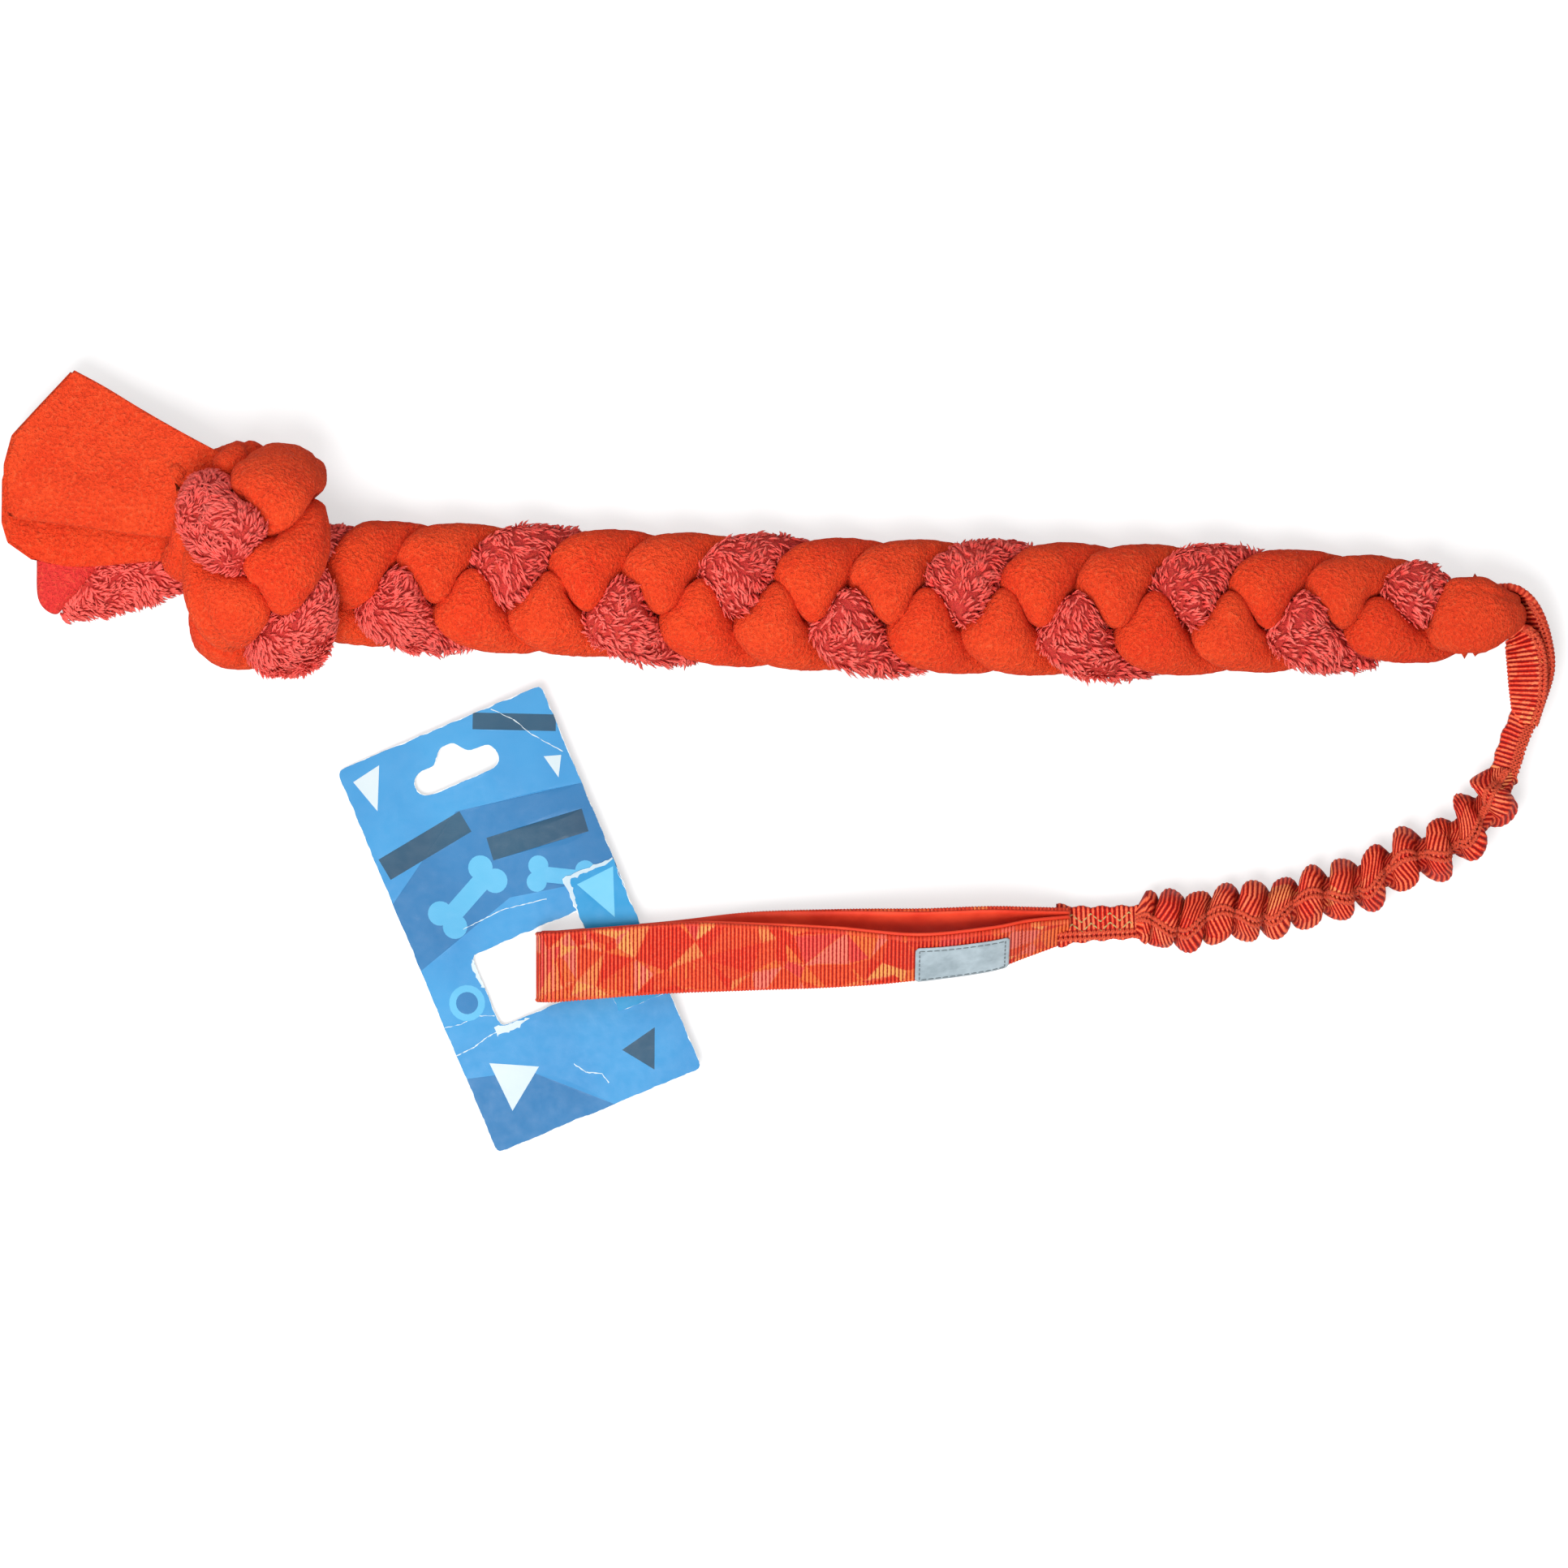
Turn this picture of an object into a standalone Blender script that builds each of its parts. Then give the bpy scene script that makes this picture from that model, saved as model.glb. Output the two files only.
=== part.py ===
"""A bungee tug toy laid flat on a table, in metres, +Z up, with +X along its plait.

Three soft strands are plaited and tied in an overhand knot that leaves three flat tails. At the
thin end the plait folds round a webbing loop, which leads through a stitched neck into a ruched
sleeve over an elastic, a second neck and a lined hand loop with its retail card.
"""

import math

import bmesh
import bpy
import numpy as np
from mathutils import Matrix, Vector
from mathutils.bvhtree import BVHTree

TUG_NAME = "bungee_tug_toy"

# Gaps between pieces
TOUCH_GAP = 0.0003
STRAND_GAP = 0.0006
KNOT_STRAND_GAP = 0.0012
EASED_GAP = 0.0005
EASE_ROUNDS = 9


# Plait, measured edge to edge on its widest stretch
PLAIT_LENGTH = 0.3905
PLAIT_WIDTH = 0.047
PLAIT_DEPTH = 0.033
PLAIT_PITCH = 0.081
STRAND_WIDTH = 0.033
STRAND_DEPTH = 0.021
PLAIT_SKEW = 0.0030
PLAIT_FILL_SHARE = 0.25
PLUSH_PILE = 0.0015
STRAND_STEP = 0.0055
STRAND_SIDES = 12

# Knot, over all
KNOT_WIDTH = 0.055
KNOT_LENGTH = 0.085
KNOT_HEIGHT = 0.056

# Tails, past the knot
TAIL_LENGTH = 0.066
TAIL_WIDTH = 0.058
FLEECE_FOLD_DEPTH = 0.0048
PLUSH_TAIL_DEPTH = 0.0064

# Eye at the plait's thin end
EYE_RADIUS = 0.0085
EYE_STRAND_WIDTH = 0.027
EYE_STRAND_DEPTH = 0.014
EYE_ROUNDING_SHARE = 0.35

# Webbing of the tug loop
LOOP_LENGTH = 0.052
LOOP_WIDTH = 0.026
LOOP_WEB_WIDTH = 0.015
LOOP_WEB_THICKNESS = 0.002

# Lead from the tug loop to the hand loop
LEAD_SPAN = 0.163
LEAD_DROP = 0.0745
NECK_THICKNESS = 0.006
FORE_NECK_WIDTH = 0.0094
FORE_NECK_LENGTH = 0.0205
AFT_NECK_WIDTH = 0.0116
AFT_NECK_LENGTH = 0.0235

# Ruched sleeve and its elastic
SLEEVE_CORE_DIAMETER = 0.0125
RUFFLE_HEIGHT = 0.0042
RUFFLE_FIRST_PITCH = 0.0150
RUFFLE_LAST_PITCH = 0.0085
ELASTIC_DIAMETER = 0.0064
ELASTIC_CLEARANCE = 0.0004
RESTING_CUT = 0.0005
SLEEVE_STEP = 0.0016
ELASTIC_STEP = 0.0055
SLEEVE_SIDES = 12

# Hand loop
HAND_LENGTH = 0.191
STRAP_WIDTH = 0.025
STRAP_THICKNESS = 0.0013
LINING_WIDTH = 0.0236
LINING_THICKNESS = 0.0010
HAND_OPENING = 0.009
LINING_LIP = 0.0012
STRAP_STEP = 0.0035
LABEL_LENGTH = 0.035
LABEL_WIDTH = 0.020
LABEL_THICKNESS = 0.0006
LABEL_MIDDLE_SHARE = 0.803
LABEL_DROP = 0.0023

# Retail card
CARD_WIDTH = 0.080
CARD_LENGTH = 0.149
CARD_THICKNESS = 0.0005
CARD_CORNER = 0.0025
CARD_TURN = math.radians(22.8)
CARD_TILT = math.radians(4.2)
CARD_HOLD_SHARES = (0.4875, 0.6215)
WINDOW_TOP = 0.0800
WINDOW_HEIGHT = 0.0275
WINDOW_SIDE = 0.019
SLOT_WIDTH = 0.032
SLOT_HEIGHT = 0.009
SLOT_RISE = 0.005
SLOT_BUMP = 0.012
SLOT_MARGIN = 0.0165
TONGUE_WIDTH = 0.0195
TONGUE_LENGTH = 0.052
TONGUE_LAP = 0.013

# Middle of the bundle through the knot, from the tails to the plait: place in shares of the knot,
# outward side of the flat face, spread and rise in shares of the plait's, and plaiting turns made.
KNOT_ROUTE_SHARES = (
    (-0.440, 0.160, 0.380, 0.0, 0.0, 1.0, 1.90, 1.50, -3.125),
    (-0.255, 0.180, 0.440, 0.2, 0.0, 1.0, 1.30, 1.20, -2.980),
    (-0.036, 0.130, 0.320, 0.9, 0.3, 0.2, 0.65, 0.80, -2.860),
    (0.000, -0.047, 0.150, 0.5, 0.0, -0.9, 0.80, 0.70, -2.740),
    (0.018, -0.235, 0.185, 0.0, -0.4, -1.0, 1.10, 0.60, -2.600),
    (0.036, -0.340, 0.460, 0.0, -1.0, 0.0, 1.30, 0.60, -2.416),
    (0.018, -0.210, 0.740, 0.0, -0.5, 0.9, 1.40, 0.60, -2.160),
    (0.000, 0.000, 0.800, 0.0, 0.0, 1.0, 1.40, 0.60, -1.910),
    (-0.018, 0.215, 0.740, 0.0, 0.5, 0.9, 1.40, 0.60, -1.690),
    (-0.036, 0.335, 0.460, 0.0, 1.0, 0.0, 1.30, 0.60, -1.610),
    (-0.180, 0.280, 0.232, -0.2, 0.4, -0.9, 0.80, 0.70, -1.480),
    (-0.310, 0.118, 0.250, -0.6, 0.0, -0.8, 0.65, 0.80, -1.240),
    (-0.180, -0.024, 0.393, -0.3, -0.8, -0.4, 0.65, 0.80, -1.000),
    (0.110, -0.070, 0.464, 0.0, -1.0, 0.1, 0.70, 0.80, -0.810),
    (0.436, -0.106, 0.400, 0.0, -0.5, 0.8, 0.90, 0.90, -0.645),
)
PLAIT_START_TURN_SHARE = -0.6019

# The plait's middle line: shares of its length along and across, of its depth up, and its size
PLAIT_ROUTE_SHARES = (
    (0.030, -0.0256, 0.550, 0.97),
    (0.080, -0.0270, 0.500, 0.97),
    (0.255, -0.0350, 0.482, 0.98),
    (0.434, -0.0440, 0.490, 1.02),
    (0.731, -0.0500, 0.490, 1.02),
    (0.880, -0.0490, 0.452, 0.93),
    (1.000, -0.0500, 0.430, 0.76),
)

# Tails from the cut end to the knot: shares of the tail's length past the knot, of its width
# across, of the knot's height up, and half the tail's width as a share of the widest tail
UPPER_TAIL_SHARES = (
    (0.85, 0.400, 0.275, 0.53),
    (0.50, 0.300, 0.300, 0.47),
    (0.22, 0.240, 0.360, 0.39),
    (0.02, 0.225, 0.440, 0.30),
)
LOWER_TAIL_SHARES = (
    (0.94, 0.010, 0.175, 0.31),
    (0.53, -0.010, 0.185, 0.31),
    (0.22, -0.010, 0.220, 0.28),
    (0.02, 0.000, 0.290, 0.25),
)
PLUSH_TAIL_SHARES = (
    (0.76, -0.360, 0.065, 0.29),
    (0.38, -0.290, 0.080, 0.28),
    (0.18, -0.210, 0.110, 0.26),
    (0.00, -0.140, 0.160, 0.22),
)

# Tug loop: middle line of the webbing, from the neck round through the eye and back to the neck,
# in shares of the loop's length and width from the neck's end, its height in shares of the eye's,
# its lean from upright in turns, and its width
LOOP_ROUTE_SHARES = (
    (0.09, 0.04, 0.55, 0.11, 1.00),
    (0.21, 0.14, 0.61, 0.11, 1.00),
    (0.23, 0.35, 0.74, 0.11, 1.00),
    (0.12, 0.58, 0.87, 0.10, 0.95),
    (-0.03, 0.83, 0.97, 0.07, 0.80),
    (-0.32, 0.97, 1.00, 0.03, 0.62),
    (-0.61, 0.93, 1.00, 0.00, 0.55),
    (-0.69, 0.80, 1.00, 0.00, 0.50),
    (-0.69, 0.57, 1.00, 0.00, 0.50),
    (-0.50, 0.47, 0.94, 0.03, 0.58),
    (-0.25, 0.40, 0.84, 0.07, 0.80),
    (-0.12, 0.25, 0.71, 0.11, 1.00),
    (-0.09, 0.04, 0.55, 0.11, 1.00),
)

# The lead's line from the tug loop to the hand loop, in shares of its span and drop
LEAD_ROUTE_SHARES = (
    (0.000, 0.000),
    (0.024, 0.117),
    (0.048, 0.274),
    (0.083, 0.440),
    (0.142, 0.568),
    (0.233, 0.676),
    (0.322, 0.762),
    (0.411, 0.842),
    (0.501, 0.901),
    (0.590, 0.937),
    (0.679, 0.967),
    (0.768, 0.985),
    (0.857, 0.993),
    (0.929, 1.000),
    (1.000, 1.008),
)

# The hand loop from its bend to its sewn end: shares of its length along and across, its lean in
# degrees, and its opening and width as shares
HAND_STATION_SHARES = (
    (0.00, 0.0000, 0, 1.00, 1.00),
    (0.23, 0.0180, 2, 1.00, 1.00),
    (0.38, 0.0300, 20, 1.00, 1.00),
    (0.54, 0.0355, 34, 0.95, 1.00),
    (0.70, 0.0425, 52, 0.95, 1.00),
    (0.84, 0.0540, 56, 0.70, 1.00),
    (0.92, 0.0660, 58, 0.30, 0.88),
    (1.00, 0.0790, 60, 0.07, 0.60),
)


def spline(rows, spans):
    """Points of a smooth curve through every row, with the same number of steps in each span."""
    rows = np.asarray(rows, float)
    padded = np.vstack([2 * rows[0] - rows[1], rows, 2 * rows[-1] - rows[-2]])
    found = []
    for before, start, end, after in zip(padded, padded[1:], padded[2:], padded[3:]):
        for t in np.arange(spans) / spans:
            bend = 2 * before - 5 * start + 4 * end - after
            twist = 3 * start - before - 3 * end + after
            found.append(start + ((end - before) * t + bend * t**2 + twist * t**3) / 2)
    return np.array(found + [rows[-1]])


def run_lengths(points):
    """Distance along a line of points, from its first one."""
    steps = np.linalg.norm(np.diff(points[:, :3], axis=0), axis=1)
    return np.concatenate([[0], np.cumsum(steps)])


def evenly(rows, step):
    """The same line with its rows about one step apart."""
    lengths = run_lengths(rows)
    count = max(2, round(lengths[-1] / step))
    wanted = np.linspace(0, lengths[-1], count + 1)
    return np.column_stack([np.interp(wanted, lengths, column) for column in rows.T])


def unit(vectors):
    return vectors / np.linalg.norm(vectors, axis=-1, keepdims=True)


def frames(points, outward):
    """Outward and sideways directions along a line, both square to it."""
    along = unit(np.gradient(points, axis=0))
    outward = unit(outward - along * np.sum(outward * along, axis=1, keepdims=True))
    return outward, np.cross(outward, along)


def knot_rows():
    rows = np.array(KNOT_ROUTE_SHARES)
    rows[:, :3] *= (KNOT_WIDTH, KNOT_LENGTH, KNOT_HEIGHT)
    return rows


def plait_rows():
    """The plait's rows in the knot's form: place, outward side, spread, rise and turns."""
    shares = np.array(PLAIT_ROUTE_SHARES)
    count = round(4 * PLAIT_LENGTH / PLAIT_PITCH)
    wanted = np.linspace(shares[0, 0], 1, count)
    across, height, size = (np.interp(wanted, shares[:, 0], column) for column in shares.T[1:])
    rows = np.zeros((count, 9))
    rows[:, 0] = KNOT_WIDTH / 2 + wanted * PLAIT_LENGTH
    rows[:, 1] = across * PLAIT_LENGTH
    rows[:, 2] = height * PLAIT_DEPTH
    rows[:, 5] = 1
    rows[:, 6] = size
    rows[:, 7] = size
    rows[:, 8] = PLAIT_START_TURN_SHARE + wanted * PLAIT_LENGTH / PLAIT_PITCH
    return rows


def plaited_strand(line, lag_share, pile):
    """Rows of one strand in the bundle: place, outward side, half width, half depth, gap, fill."""
    outward, sideways = frames(line[:, :3], line[:, 3:6])
    along = np.cross(sideways, outward)
    turn = 2 * math.pi * (line[:, 8:9] - lag_share)
    reach = (PLAIT_WIDTH - STRAND_WIDTH) / 2 * line[:, 6:7]
    lift = (PLAIT_DEPTH - STRAND_DEPTH) / 2 * line[:, 7:8]
    place = line[:, :3] + sideways * reach * np.sin(turn) + outward * lift * np.sin(2 * turn)
    place -= along * PLAIT_SKEW * np.sin(2 * turn)
    size = np.clip(line[:, 6:7], 0.8, 1.1)
    half_width = STRAND_WIDTH / 2 * size + pile
    half_depth = STRAND_DEPTH / 2 * size + pile
    knotted = np.clip(1.5 - line[:, 0:1] / KNOT_WIDTH, 0, 1)
    gap = STRAND_GAP + (KNOT_STRAND_GAP - STRAND_GAP) * knotted
    return np.column_stack([place, outward, half_width, half_depth, gap, -np.sin(turn)])


def tail_rows(shares, depth):
    """A tail's rows, from its cut end to just before the knot."""
    shares = np.array(shares)
    knot = knot_rows()[0]
    rows = np.zeros((len(shares), 10))
    rows[:, 0] = knot[0] - shares[:, 0] * TAIL_LENGTH
    rows[:, 1] = knot[1] + shares[:, 1] * TAIL_WIDTH
    rows[:, 2] = shares[:, 2] * KNOT_HEIGHT
    rows[:, 5] = 1
    rows[:, 6] = shares[:, 3] * TAIL_WIDTH
    rows[:, 7] = depth / 2
    rows[:, 8] = STRAND_GAP
    return rows


def eye_centre():
    """Middle of the eye's bend, in the plait's end."""
    end = plait_rows()[-1]
    height = EYE_RADIUS + EYE_STRAND_DEPTH / 2
    return Vector((end[0] + 2.15 * EYE_RADIUS, end[1] - 0.2 * EYE_RADIUS, height))


def eye_rows(angles, half_width):
    """Rows round the eye's bend at these angles above its middle."""
    centre = eye_centre()
    rows = np.zeros((len(angles), 10))
    for row, angle in zip(rows, angles):
        row[3:6] = (math.cos(angle), 0, math.sin(angle))
        row[:3] = centre + EYE_RADIUS * Vector(row[3:6])
        row[6:] = (half_width, EYE_STRAND_DEPTH / 2, STRAND_GAP, 0)
    return rows


def eye_leg(reach_share, height_share, side_share, width_share):
    """One row on the way into the eye, placed from the eye's middle."""
    centre = eye_centre()
    place = centre + EYE_RADIUS * Vector((-reach_share, side_share, height_share))
    half_width = EYE_STRAND_WIDTH / 2 * width_share
    return np.array([[*place, 0, 0, 1, half_width, EYE_STRAND_DEPTH / 2, STRAND_GAP, 0]])


def joined(before, middle, after):
    """A strand's dense middle rows with a smooth run on at each end."""
    reach = max(2, len(middle) // 40)
    found = [middle]
    if len(before):
        lead = spline(np.vstack([before, middle[0], middle[reach]]), 8)
        found.insert(0, lead[: 8 * len(before)])
    if len(after):
        lead = spline(np.vstack([middle[-1 - reach], middle[-1], after]), 8)
        found.append(lead[9:])
    return np.vstack(found)


def strand_rows():
    """The three strands, each from its tail's cut end to the eye."""
    line = evenly(spline(np.vstack([knot_rows(), plait_rows()]), 12), STRAND_STEP / 3)
    upper = tail_rows(UPPER_TAIL_SHARES, FLEECE_FOLD_DEPTH)
    lower = tail_rows(LOWER_TAIL_SHARES, FLEECE_FOLD_DEPTH)
    plush = tail_rows(PLUSH_TAIL_SHARES, PLUSH_TAIL_DEPTH)
    angles = np.radians(np.arange(90, -91, -30))
    bend = eye_rows(angles, EYE_STRAND_WIDTH / 2)
    bend[:, 6] *= 1 - EYE_ROUNDING_SHARE * np.cos(angles)
    over = np.vstack([eye_leg(1.0, 0.95, 0.0, 1.0), bend, eye_leg(0.75, -1.0, 0.0, 1.0)])
    under = np.vstack([eye_leg(1.3, -0.95, 0.05, 1.0), eye_leg(0.84, -1.0, 0.0, 1.0)])
    tucked = np.vstack([eye_leg(1.5, 0.0, 0.0, 0.6), eye_leg(0.8, -0.1, -0.8, 0.5)])
    strands = {
        "fleece_strand_a": joined(upper, plaited_strand(line, 2 / 3, 0), over),
        "fleece_strand_b": joined(lower, plaited_strand(line, 1 / 3, 0), under),
        "plush_strand": joined(plush, plaited_strand(line, 0, PLUSH_PILE), tucked),
    }
    dense = {name: evenly(rows, STRAND_STEP / 3) for name, rows in strands.items()}
    return {name: np.column_stack([rows, run_lengths(rows)]) for name, rows in dense.items()}


def skeleton(rows):
    """Points over the flat middle of each section, with their distance along the strand."""
    outward, sideways = frames(rows[:, :3], rows[:, 3:6])
    found = []
    for place, side, size, run in zip(rows[:, :3], sideways, rows[:, 6:8], rows[:, 10]):
        reach = max(size[0] - size[1], 0)
        count = 2 * math.ceil(reach / STRAND_STEP * 3) + 1
        for offset in np.linspace(-reach, reach, count):
            found.append([*(place + side * offset), run])
    return np.array(found)


def nearest(points, others):
    """Distance from each point to the nearest of the others, and which one that is."""
    spans = np.linalg.norm(points[:, None] - others[None, :, :3], axis=2)
    return spans.min(axis=1), spans.argmin(axis=1)


def room(place, rays, run, gap, own, others, balls):
    """How much of each ray stays nearer its own strand than any other, and above the floor."""
    steps = np.linspace(0.08, 1, 16)
    points = (place + steps[:, None, None] * rays).reshape(-1, 3)
    reach = 3 * np.linalg.norm(rays, axis=1).max()
    own = own[np.linalg.norm(own[:, :3] - place, axis=1) < reach]
    others = others[np.linalg.norm(others[:, :3] - place, axis=1) < reach]
    near = own[np.abs(own[:, 3] - run) < 4 * STRAND_STEP]
    far = np.vstack([own[np.abs(own[:, 3] - run) >= 4 * STRAND_STEP], others])
    distance, index = nearest(points, near)
    spare = STRAND_STEP - np.abs(near[index, 3] - run)
    if len(far):
        spare = np.minimum(spare, nearest(points, far)[0] - distance - gap)
    if len(balls):
        gaps = np.linalg.norm(points[:, None] - balls[None, :, :3], axis=2) - balls[:, 3]
        spare = np.minimum(spare, gaps.min(axis=1))
    spare = spare.reshape(len(steps), len(rays))
    shares = []
    for column, ray in zip(spare.T, rays):
        stops = np.flatnonzero(column < 0)
        share = 1.0
        if len(stops):
            stop = stops[0]
            share = steps[0] / 2
            if stop:
                low, high = column[stop - 1], column[stop]
                share = steps[stop - 1] + (steps[stop] - steps[stop - 1]) * low / (low - high)
        if ray[2] < 0:
            share = min(share, place[2] / -ray[2])
        shares.append(share)
    return np.array(shares)


def packed_sections(name, strands, balls):
    """Sections of one strand, pressed flat where it meets its neighbours."""
    rows = evenly(strands[name], STRAND_STEP)
    own = skeleton(strands[name])
    others = np.vstack([skeleton(other) for key, other in strands.items() if key != name])
    outward, sideways = frames(rows[:, :3], rows[:, 3:6])
    angles = 2 * math.pi * np.arange(STRAND_SIDES) / STRAND_SIDES
    sections = []
    for row, out, side in zip(rows, outward, sideways):
        flat = 1 if row[6] < 2 * row[7] else 0.55
        across = np.sign(np.cos(angles)) * np.abs(np.cos(angles)) ** flat
        up = np.sign(np.sin(angles)) * np.abs(np.sin(angles)) ** flat
        filled = 1 + PLAIT_FILL_SHARE * np.maximum(across * row[9], 0)
        rays = np.outer(across * filled * row[6], side) + np.outer(up * row[7], out)
        shares = room(row[:3], rays, row[10], row[8], own, others, balls)
        sections.append(row[:3] + rays * shares[:, None])
    return np.array(sections), rows[:, :3]


def strand_samples(sections):
    """Corners, edge middles and face middles of a strand's skin, with the corners that carry each."""
    rings, sides = sections.shape[:2]
    ring, side = np.meshgrid(np.arange(rings - 1), np.arange(sides), indexing="ij")
    corner = (ring * sides + side).ravel()
    beside = (ring * sides + (side + 1) % sides).ravel()
    ahead, across = corner + sides, beside + sides
    pairs = ((corner, corner), (corner, beside), (corner, ahead), (corner, across), (beside, ahead))
    return np.concatenate([np.column_stack(pair) for pair in pairs])


def skin_tree(sections):
    """A search tree of a strand's skin, whose triangles face outward."""
    rings, sides = sections.shape[:2]
    faces = []
    for i in range(rings - 1):
        for k in range(sides):
            a, b = i * sides + k, i * sides + (k + 1) % sides
            faces += [(a, a + sides, b + sides), (a, b + sides, b)]
    return BVHTree.FromPolygons(sections.reshape(-1, 3).tolist(), faces)


def eased_apart(skins, middles, obstacle):
    """Strand skins pulled in toward their own middles until none is nearer another than the gap."""
    for _ in range(EASE_ROUNDS):
        trees = {name: skin_tree(skin) for name, skin in skins.items()}
        trees["obstacle"] = obstacle
        for name, skin in skins.items():
            flat = skin.reshape(-1, 3)
            pull = np.zeros(len(flat))
            samples = strand_samples(skin)
            points = flat[samples].mean(axis=1)
            for pair, point in zip(samples, points):
                for other, tree in trees.items():
                    if other == name:
                        continue
                    place, normal, _, distance = tree.find_nearest(Vector(point), 8 * TOUCH_GAP)
                    if place is None:
                        continue
                    depth = (Vector(point) - place).dot(normal)
                    if depth < EASED_GAP:
                        pull[pair] = np.maximum(pull[pair], (EASED_GAP - depth) / 2)
            inward = np.repeat(middles[name], skin.shape[1], axis=0) - flat
            inward /= np.maximum(np.linalg.norm(inward, axis=1, keepdims=True), TOUCH_GAP)
            skins[name] = (flat + inward * pull[:, None]).reshape(skin.shape)
    return skins


def loft(name, sections, smooth=True):
    """A closed solid through sections that have the same number of points."""
    sides = len(sections[0])
    bm = bmesh.new()
    rings = [[bm.verts.new(point) for point in section] for section in sections]
    for ring, following in zip(rings, rings[1:]):
        for i in range(sides):
            j = (i + 1) % sides
            bm.faces.new((ring[i], ring[j], following[j], following[i]))
    for ring in (rings[0], rings[-1]):
        middle = bm.verts.new(sum((vert.co for vert in ring), Vector()) / sides)
        for i in range(sides):
            bm.faces.new((ring[i], ring[(i + 1) % sides], middle))
    bmesh.ops.recalc_face_normals(bm, faces=bm.faces)
    mesh = bpy.data.meshes.new(name)
    bm.to_mesh(mesh)
    bm.free()
    if smooth:
        mesh.shade_smooth()
        mesh.set_sharp_from_angle(angle=math.radians(40))
    return bpy.data.objects.new(name, mesh)


def strap_sections(places, sideways, faces, half_widths, half_thickness):
    """Flat rectangular sections along a strap."""
    sections = []
    for place, side, face, half in zip(places, sideways, faces, half_widths):
        across, up = side * half, face * half_thickness
        upper = [place + up + across, place + up, place + up - across]
        sections.append([*upper, *(corner - 2 * up for corner in upper[::-1])])
    return sections


def neck_place():
    """Where the lead leaves the tug loop: the neck's fore end."""
    centre = eye_centre()
    return centre + Vector((0.62 * LOOP_WIDTH, -0.685 * LOOP_LENGTH, 0))


def tug_loop():
    """Rows of webbing that leaves the neck, passes through the eye and comes back beside itself."""
    shares = np.array(LOOP_ROUTE_SHARES)
    neck = np.array(neck_place())
    rows = np.zeros((len(shares), 5))
    rows[:, 0] = neck[0] + shares[:, 0] * LOOP_WIDTH
    rows[:, 1] = neck[1] + shares[:, 1] * LOOP_LENGTH
    rows[:, 2] = shares[:, 2] * eye_centre().z
    rows[:, 3] = shares[:, 3] * 2 * math.pi
    rows[:, 4] = shares[:, 4] * LOOP_WEB_WIDTH / 2
    return evenly(spline(rows, 8), 1.5 * LOOP_WEB_THICKNESS)


def loop_sections(rows):
    """The tug loop's webbing stands on edge and leans with its row's angle."""
    along = unit(np.gradient(rows[:, :3], axis=0))
    lean = np.column_stack([np.sin(rows[:, 3]), np.zeros(len(rows)), np.cos(rows[:, 3])])
    faces, sideways = frames(rows[:, :3], np.cross(lean, along))
    return strap_sections(rows[:, :3], sideways, faces, rows[:, 4], LOOP_WEB_THICKNESS / 2)


def sleeve_height():
    return SLEEVE_CORE_DIAMETER / 2 + RUFFLE_HEIGHT - RESTING_CUT


def lead_line():
    """The lead's middle line from the tug loop to the hand loop, with its run as a fourth column."""
    shares = spline(LEAD_ROUTE_SHARES, 8)
    start = neck_place()
    flat = np.column_stack([start.x - shares[:, 0] * LEAD_SPAN, start.y - shares[:, 1] * LEAD_DROP])
    runs = run_lengths(flat)
    ends = (0, FORE_NECK_LENGTH, runs[-1] - AFT_NECK_LENGTH, runs[-1])
    loop_height = LOOP_ROUTE_SHARES[0][2] * eye_centre().z
    heights = (loop_height, sleeve_height(), sleeve_height(), hand_height(1.0))
    return np.column_stack([flat, np.interp(runs, ends, heights), runs])


def lead_rows(start, end, step):
    """Evenly spaced rows of the lead between two runs."""
    line = lead_line()
    count = max(2, round((end - start) / step))
    runs = np.linspace(start, end, count + 1)
    return np.column_stack([np.interp(runs, line[:, 3], column) for column in line.T])


def neck(name, start, end, width):
    """A folded and sewn neck of webbing: a flat bar with bevelled edges."""
    rows = lead_rows(start + TOUCH_GAP, end - TOUCH_GAP, STRAP_STEP)
    upward, sideways = frames(rows[:, :3], np.tile((0, 0, 1.0), (len(rows), 1)))
    across, up, cut = width / 2, NECK_THICKNESS / 2, NECK_THICKNESS / 4
    corners = ((across, up - cut), (across - cut, up), (cut - across, up), (-across, up - cut))
    corners += tuple((-x, -y) for x, y in corners)
    sections = [
        [place + side * x + rise * y for x, y in corners]
        for place, side, rise in zip(rows[:, :3], sideways, upward)
    ]
    return loft(name, sections)


def ruffle_phase(runs, length):
    """Turns of the ruffle made by each run, as its pitch shortens along the sleeve."""
    share = runs / length
    mean = RUFFLE_FIRST_PITCH + (RUFFLE_LAST_PITCH - RUFFLE_FIRST_PITCH) * share / 2
    return runs / mean


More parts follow.
